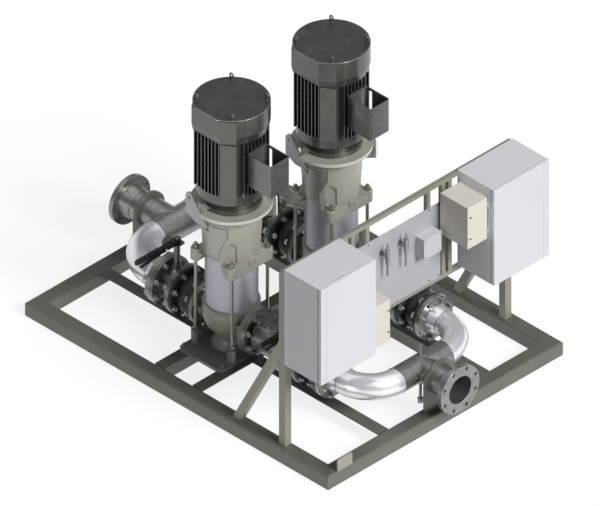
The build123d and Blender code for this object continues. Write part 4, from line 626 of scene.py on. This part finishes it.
def bolt(mesh, origin, direction, flats, height, stud, end=7 * MM):
    """Washer, nut and stud end on a face, pointing along a direction."""
    place = along(origin, direction)
    washer(mesh, place, flats * WASHER_REACH, WASHER)
    hex_nut(mesh, place @ Matrix.Translation((0, 0, WASHER)), flats, height)
    stud_end(mesh, place @ Matrix.Translation((0, 0, WASHER + height)), stud, end)


# Flange bolts
def flange_joints():
    """Place of each flange joint on a line, its size, and the thickness before and after it."""
    suction_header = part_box("suction_header")[1].x
    suction_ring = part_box("suction_connectors")
    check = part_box("check_valve_bodies")
    discharge_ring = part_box("discharge_connectors")
    six, five = SIX_INCH, FIVE_INCH
    return [
        (suction_header, six, six["thick"], six["thick"]),
        (suction_ring[0].x, six, six["thick"], RING_THICKNESS),
        (suction_ring[1].x, five, RING_THICKNESS, five["thick"]),
        (check[0].x, five, five["thick"], five["thick"]),
        (check[1].x, five, five["thick"], five["thick"]),
        (discharge_ring[0].x, five, five["thick"], RING_THICKNESS),
        (discharge_ring[1].x, five, RING_THICKNESS, five["thick"]),
    ]


def flange_bolts(finishes):
    """Studs and nuts of every flange joint, straddling the centre lines."""
    for side_name, side in SIDES.items():
        mesh = bmesh.new()
        for x, size, before, after in flange_joints():
            for index in range(FLANGE_BOLTS):
                angle = math.tau * (index + 0.5) / FLANGE_BOLTS
                y = side * LINE_Y + size["pcd"] / 2 * math.cos(angle)
                z = PORT_Z + size["pcd"] / 2 * math.sin(angle)
                bolt(mesh, (x - before, y, z), (-1, 0, 0), size["flats"], size["nut"], size["stud"])
                bolt(mesh, (x + after, y, z), (1, 0, 0), size["flats"], size["nut"], size["stud"])
        new_piece(f"{side_name}_flange_bolts", mesh, finishes["bolt_steel"])


# Welds
def bead(mesh, points, size, closed=True):
    """Rippled weld bead along a path of points."""
    total = len(points)
    rings = []
    for index, point in enumerate(points):
        after = points[(index + 1) % total] if closed else points[min(index + 1, total - 1)]
        before = points[index - 1] if closed else points[max(index - 1, 0)]
        turn = (after - before).to_track_quat("Z", "Y")
        reach = size * (1.0 if index % 2 else RIPPLE)
        rings.append([point + turn @ Vector(offset) for offset in circle(reach, 0, BEAD_POINTS)])
    if closed:
        close_bead(mesh, rings)
    else:
        loft(mesh, rings)


def close_bead(mesh, rings):
    """Skin of a bead whose last ring meets its first one."""
    rows = [[mesh.verts.new(point) for point in ring] for ring in rings]
    for index, low in enumerate(rows):
        high = rows[(index + 1) % len(rows)]
        # The frames may turn on the way round, so each ring starts at its neighbour's nearest point
        shift = min(range(BEAD_POINTS), key=lambda step: (high[step].co - low[0].co).length)
        for place in range(BEAD_POINTS):
            after = (place + 1) % BEAD_POINTS
            over = high[(place + shift) % BEAD_POINTS]
            over_after = high[(place + 1 + shift) % BEAD_POINTS]
            mesh.faces.new((low[place], low[after], over_after, over))


def ring_path(centre, axis, radius):
    """Points of a ring round an axis."""
    place = along(centre, axis)
    return [place @ Vector(point) for point in circle(radius, 0, RING_POINTS)]


def line_path(start, end):
    """Points along a straight line."""
    start = Vector(start)
    end = Vector(end)
    count = max(2, int((end - start).length / BEAD_PITCH))
    return [start.lerp(end, index / count) for index in range(count + 1)]


def saddle_path(centre, run, branch, toward):
    """Points of the seam where a branch along X leaves a run along Y."""
    points = []
    for y, z, _ in circle(branch, 0, RING_POINTS):
        depth = math.sqrt(max(0.0, run * run - z * z))
        points.append(Vector((centre + toward * depth, y, PORT_Z + z)))
    return points


def rectangle_path(low, high):
    """Points round an upright piece's foot on the frame tube, closed."""
    corners = [(low[0], low[1]), (high[0], low[1]), (high[0], high[1]), (low[0], high[1])]
    points = []
    for index, corner in enumerate(corners):
        after = corners[(index + 1) % len(corners)]
        points += line_path((*corner, TUBE), (*after, TUBE))[:-1]
    return points


def pipe_welds(finishes):
    """Butt welds of the headers: necks, elbows, tee outlets and reducer."""
    mesh = bmesh.new()
    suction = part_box("suction_header")
    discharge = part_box("discharge_header")
    runs = [
        ("six", suction[1].x - NECK, -1, suction[0].x + NECK),
        ("five", discharge[0].x + NECK, 1, discharge[1].x - NECK),
    ]
    for pipe, neck, toward, main_neck in runs:
        radius = PIPE_RADIUS[pipe]
        header = neck + toward * BEND[pipe]
        for side in SIDES.values():
            line = side * LINE_Y
            bead(mesh, ring_path((neck, line, PORT_Z), (1, 0, 0), radius), PIPE_BEAD)
            elbow_end = side * (LINE_Y - BEND[pipe])
            bead(mesh, ring_path((header, elbow_end, PORT_Z), (0, 1, 0), radius), PIPE_BEAD)
        bead(mesh, saddle_path(header, radius, radius - SADDLE_SINK, toward), PIPE_BEAD)
        bead(mesh, ring_path((main_neck, 0, PORT_Z), (1, 0, 0), PIPE_RADIUS["six"]), PIPE_BEAD)
    reducer_end = SUPPORT_X - SUPPORT_HALF - SUPPORT_GAP
    bead(mesh, ring_path((reducer_end - REDUCER, 0, PORT_Z), (1, 0, 0), PIPE_RADIUS["five"]), PIPE_BEAD)
    bead(mesh, ring_path((reducer_end, 0, PORT_Z), (1, 0, 0), PIPE_RADIUS["six"]), PIPE_BEAD)
    new_piece("pipe_welds", mesh, finishes["weld_steel"])


def mitre_welds(mesh):
    """Welds over the mitres of the frame's four corners."""
    low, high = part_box("side_rails")
    for x, sx in ((low.x, 1), (high.x, -1)):
        for y, sy in ((low.y, 1), (high.y, -1)):
            outer = (x + sx * MITRE_INSET, y + sy * MITRE_INSET, TUBE)
            inner = (x + sx * (TUBE - MITRE_INSET), y + sy * (TUBE - MITRE_INSET), TUBE)
            bead(mesh, line_path(outer, inner), MITRE_BEAD, closed=False)


def foot_welds(mesh):
    """Welds round the feet of the rack's posts and braces and of the pipe supports."""
    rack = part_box("rack_posts")
    post = rack[1].x - rack[0].x
    for start in (rack[0].y, rack[1].y - post):
        bead(mesh, rectangle_path((rack[0].x, start), (rack[1].x, start + post)), FOOT_BEAD)
    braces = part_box("rack_braces")
    for start in (braces[0].y, braces[1].y - post):
        foot_low = (braces[0].x, start)
        bead(mesh, rectangle_path(foot_low, (foot_low[0] + BRACE_FOOT, start + post)), FOOT_BEAD)
    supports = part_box("pipe_supports")
    for x in (-SUPPORT_X, SUPPORT_X):
        foot_low = (x - SUPPORT_HALF, supports[0].y)
        bead(mesh, rectangle_path(foot_low, (x + SUPPORT_HALF, supports[1].y)), FOOT_BEAD)


def angle_welds(mesh):
    """Welds where the inner angles meet the frame's tubes."""
    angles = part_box("inner_angles")
    for x in (angles[0].x, angles[1].x):
        for side in SIDES.values():
            start = side * ANGLE_START
            end = start + side * ANGLE_WIDTH
            bead(mesh, line_path((x, start, TUBE), (x, end, TUBE)), ANGLE_BEAD, closed=False)


def frame_welds(finishes):
    """Fillet welds at the frame's mitres, posts, braces, pipe supports and angles."""
    mesh = bmesh.new()
    mitre_welds(mesh)
    foot_welds(mesh)
    angle_welds(mesh)
    new_piece("frame_welds", mesh, finishes["frame_weld"])


# Screws and small bolts
def foot_bolts(finishes):
    """Bolts of the pump feet."""
    mesh = bmesh.new()
    for side in SIDES.values():
        for sx in (-1, 1):
            for sy in (-1, 1):
                place = (PUMP_X + sx * FOOT_BOLTS[0], side * LINE_Y + sy * FOOT_BOLTS[1], FOOT_TOP)
                bolt(mesh, place, (0, 0, 1), flats=19 * MM, height=9 * MM, stud=6 * MM, end=6 * MM)
    new_piece("foot_bolts", mesh, finishes["bolt_steel"])


def cover_bolts(finishes):
    """Bolts round the check valves' covers, with a plug in the middle."""
    mesh = bmesh.new()
    centre_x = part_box("check_valve_bodies")[0].x + COVER_CENTRE
    top = PORT_Z + COVER_TOP
    boss = 4 * MM
    for side in SIDES.values():
        for index in range(COVER_BOLTS):
            angle = math.tau * (index + 0.5) / COVER_BOLTS
            x = centre_x + COVER_CIRCLE * math.cos(angle)
            y = side * LINE_Y + COVER_CIRCLE * math.sin(angle)
            hex_nut(mesh, Matrix.Translation((x, y, top)), flats=19 * MM, height=11 * MM)
        plug = Matrix.Translation((centre_x, side * LINE_Y, top))
        washer(mesh, plug, radius=17 * MM, thickness=boss)
        hex_nut(mesh, plug @ Matrix.Translation((0, 0, boss)), flats=22 * MM, height=10 * MM)
    new_piece("cover_bolts", mesh, finishes["bolt_steel"])


def screw_head(mesh, origin, radius, height):
    """Domed screw head on a face that looks along +X."""
    rings = [circle(radius, 0, 20), circle(radius, height * 0.5, 20), circle(radius * 0.7, height, 20)]
    loft(mesh, rings, along(origin, (1, 0, 0)))


def panel_screws(finishes):
    """Screws of the instrument panel and of the junction box's lid."""
    mesh = bmesh.new()
    low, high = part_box("instrument_panel")
    for y in (low.y + PANEL_INSET, -STRUT_Y, STRUT_Y, high.y - PANEL_INSET):
        for z in (low.z + PANEL_INSET, (low.z + high.z) / 2, high.z - PANEL_INSET):
            screw_head(mesh, (high.x, y, z), **PANEL_SCREW)
    low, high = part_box("junction_box")
    for y in (low.y + LID_INSET, high.y - LID_INSET):
        for z in (low.z + LID_INSET, high.z - LID_INSET):
            screw_head(mesh, (high.x, y, z), **LID_SCREW)
    new_piece("panel_screws", mesh, finishes["screw_dark"])


def cover_screws(finishes):
    """Dark heads on the clamp screws of the control boxes' covers."""
    for name in SIDES:
        low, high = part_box(f"{name}_control_box_cover")
        y = low.y + CLAMP_INSET if name == "right" else high.y - CLAMP_INSET
        mesh = bmesh.new()
        for z in (low.z + CLAMP_FROM_END, high.z - CLAMP_FROM_END):
            screw_head(mesh, (high.x, y, z), **CLAMP_SCREW)
        new_piece(f"{name}_cover_screws", mesh, finishes["screw_dark"], f"{name}_cover")


def cowl_rims(finishes):
    """Rolled edge round the top plate of each fan cowl, flat on the side that faces -Y, in a lighter paint
    that is a painted highlight.
    """
    mesh = bmesh.new()
    for side in SIDES.values():
        points = []
        for x, y, _ in circle(COWL_RIM, 0, COWL_POINTS):
            points.append(Vector((PUMP_X + x, side * LINE_Y + max(y, -COWL_FLAT), COWL_TOP)))
        kept = [point for index, point in enumerate(points) if (point - points[index - 1]).length > MM]
        bead(mesh, kept, COWL_BEAD)
    new_piece("cowl_rims", mesh, finishes["cowl_edge_highlight"])


def earth_plate_skin(finishes):
    """Pale skin over the earthing plate of the outlet end member."""
    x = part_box("side_rails")[1].x
    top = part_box("end_members")[1].z + SKIN
    low_y = EARTH_PLATE_Y[0] - SKIN
    high_y = EARTH_PLATE_Y[1] + SKIN
    outline = [
        (low_y, TUBE),
        (high_y, TUBE),
        (high_y, top - SKIN_CORNER),
        (high_y - SKIN_CORNER, top),
        (low_y + SKIN_CORNER, top),
        (low_y, top - SKIN_CORNER),
    ]
    mesh = bmesh.new()
    loft(mesh, [[(level, y, z) for y, z in outline] for level in (x - EARTH_PLATE - SKIN, x + SKIN)])
    new_piece("earth_plate_skin", mesh, finishes["plate_beige"])


# Studio
def floor():
    """Pale floor that glows white to the camera and in reflections, and keeps the shadow."""
    mesh = bmesh.new()
    bmesh.ops.create_grid(mesh, x_segments=1, y_segments=1, size=FLOOR_REACH)
    data = bpy.data.meshes.new("floor")
    mesh.to_mesh(data)
    mesh.free()
    plane = bpy.data.objects.new("floor", data)
    bpy.context.scene.collection.objects.link(plane)
    finish = Finish("floor", roughness=0.6, specular=0.2)
    finish.shader.inputs["Base Color"].default_value = FLOOR_COLOUR
    seen = finish.node("ShaderNodeLightPath").outputs
    shown = finish.math("MAXIMUM", seen["Is Camera Ray"], seen["Is Glossy Ray"])
    shown = finish.math("MAXIMUM", shown, seen["Is Transmission Ray"])
    glow = finish.node("ShaderNodeEmission")
    finish.link(finish.math("MULTIPLY", shown, FLOOR_GLOW), glow.inputs["Strength"])
    both = finish.node("ShaderNodeAddShader")
    finish.link(finish.shader.outputs["BSDF"], both.inputs[0])
    finish.link(glow.outputs["Emission"], both.inputs[1])
    finish.link(both.outputs["Shader"], finish.tree.nodes["Material Output"].inputs["Surface"])
    data.materials.append(finish.material)


def world():
    """White background to the camera, an even pale room for light, and soft bands for reflections."""
    surroundings = bpy.data.worlds.new("studio")
    bpy.context.scene.world = surroundings
    surroundings.use_nodes = True
    nodes = Nodes(surroundings.node_tree)
    even = nodes.tree.nodes["Background"]
    even.inputs["Color"].default_value = AMBIENT_COLOUR
    even.inputs["Strength"].default_value = AMBIENT
    white = nodes.node("ShaderNodeBackground")
    white.inputs["Strength"].default_value = 1.0
    room = nodes.node("ShaderNodeBackground")
    split = nodes.node("ShaderNodeSeparateXYZ")
    nodes.link(nodes.node("ShaderNodeTexCoord").outputs["Generated"], split.inputs[0])
    bands = [(height, (level, level, level, 1)) for height, level in ROOM_BANDS]
    walls = nodes.ramp(nodes.remap(split.outputs["Z"], (-1, 1)), bands)
    panel = nodes.remap(split.outputs["X"], PANEL_EDGE)
    nodes.link(nodes.mix(panel, walls, PANEL_LIGHT), room.inputs["Color"])
    seen = nodes.node("ShaderNodeLightPath").outputs
    shader = even.outputs[0]
    for ray, background in (("Is Glossy Ray", room), ("Is Camera Ray", white)):
        choice = nodes.node("ShaderNodeMixShader")
        nodes.link(seen[ray], choice.inputs["Fac"])
        nodes.link(shader, choice.inputs[1])
        nodes.link(background.outputs[0], choice.inputs[2])
        shader = choice.outputs[0]
    nodes.link(shader, nodes.tree.nodes["World Output"].inputs["Surface"])


def lights():
    """A broad soft key from the outlet end, and weaker lamps beside and behind."""
    for name, lamp in LAMPS.items():
        data = bpy.data.lights.new(name, "SUN")
        data.energy = lamp["strength"]
        data.angle = math.radians(lamp["angle"])
        sun = bpy.data.objects.new(name, data)
        sun.rotation_euler = Vector(lamp["toward"]).to_track_quat("Z", "Y").to_euler()
        sun.visible_glossy = lamp["shine"]
        bpy.context.scene.collection.objects.link(sun)


def camera():
    """True isometric camera at the photograph's angle and framing."""
    data = bpy.data.cameras.new("camera")
    data.type = "ORTHO"
    data.ortho_scale = VIEW_WIDTH
    data.clip_end = VIEW_REACH
    right = Vector((1, 1, 0)).normalized()
    up = Vector((-1, 1, 2)).normalized()
    back = Vector((1, -1, 1)).normalized()
    turn = Matrix((right, up, back)).transposed().to_4x4()
    eye = bpy.data.objects.new("camera", data)
    eye.matrix_world = Matrix.Translation(VIEW_TARGET + back * VIEW_DISTANCE) @ turn
    bpy.context.scene.collection.objects.link(eye)
    bpy.context.scene.camera = eye


bpy.context.scene.view_settings.view_transform = "Standard"
camera()
world()
lights()
floor()
FINISHES = make_finishes()
dress_nodes(FINISHES)
flange_bolts(FINISHES)
pipe_welds(FINISHES)
frame_welds(FINISHES)
foot_bolts(FINISHES)
cover_bolts(FINISHES)
panel_screws(FINISHES)
cover_screws(FINISHES)
cowl_rims(FINISHES)
earth_plate_skin(FINISHES)
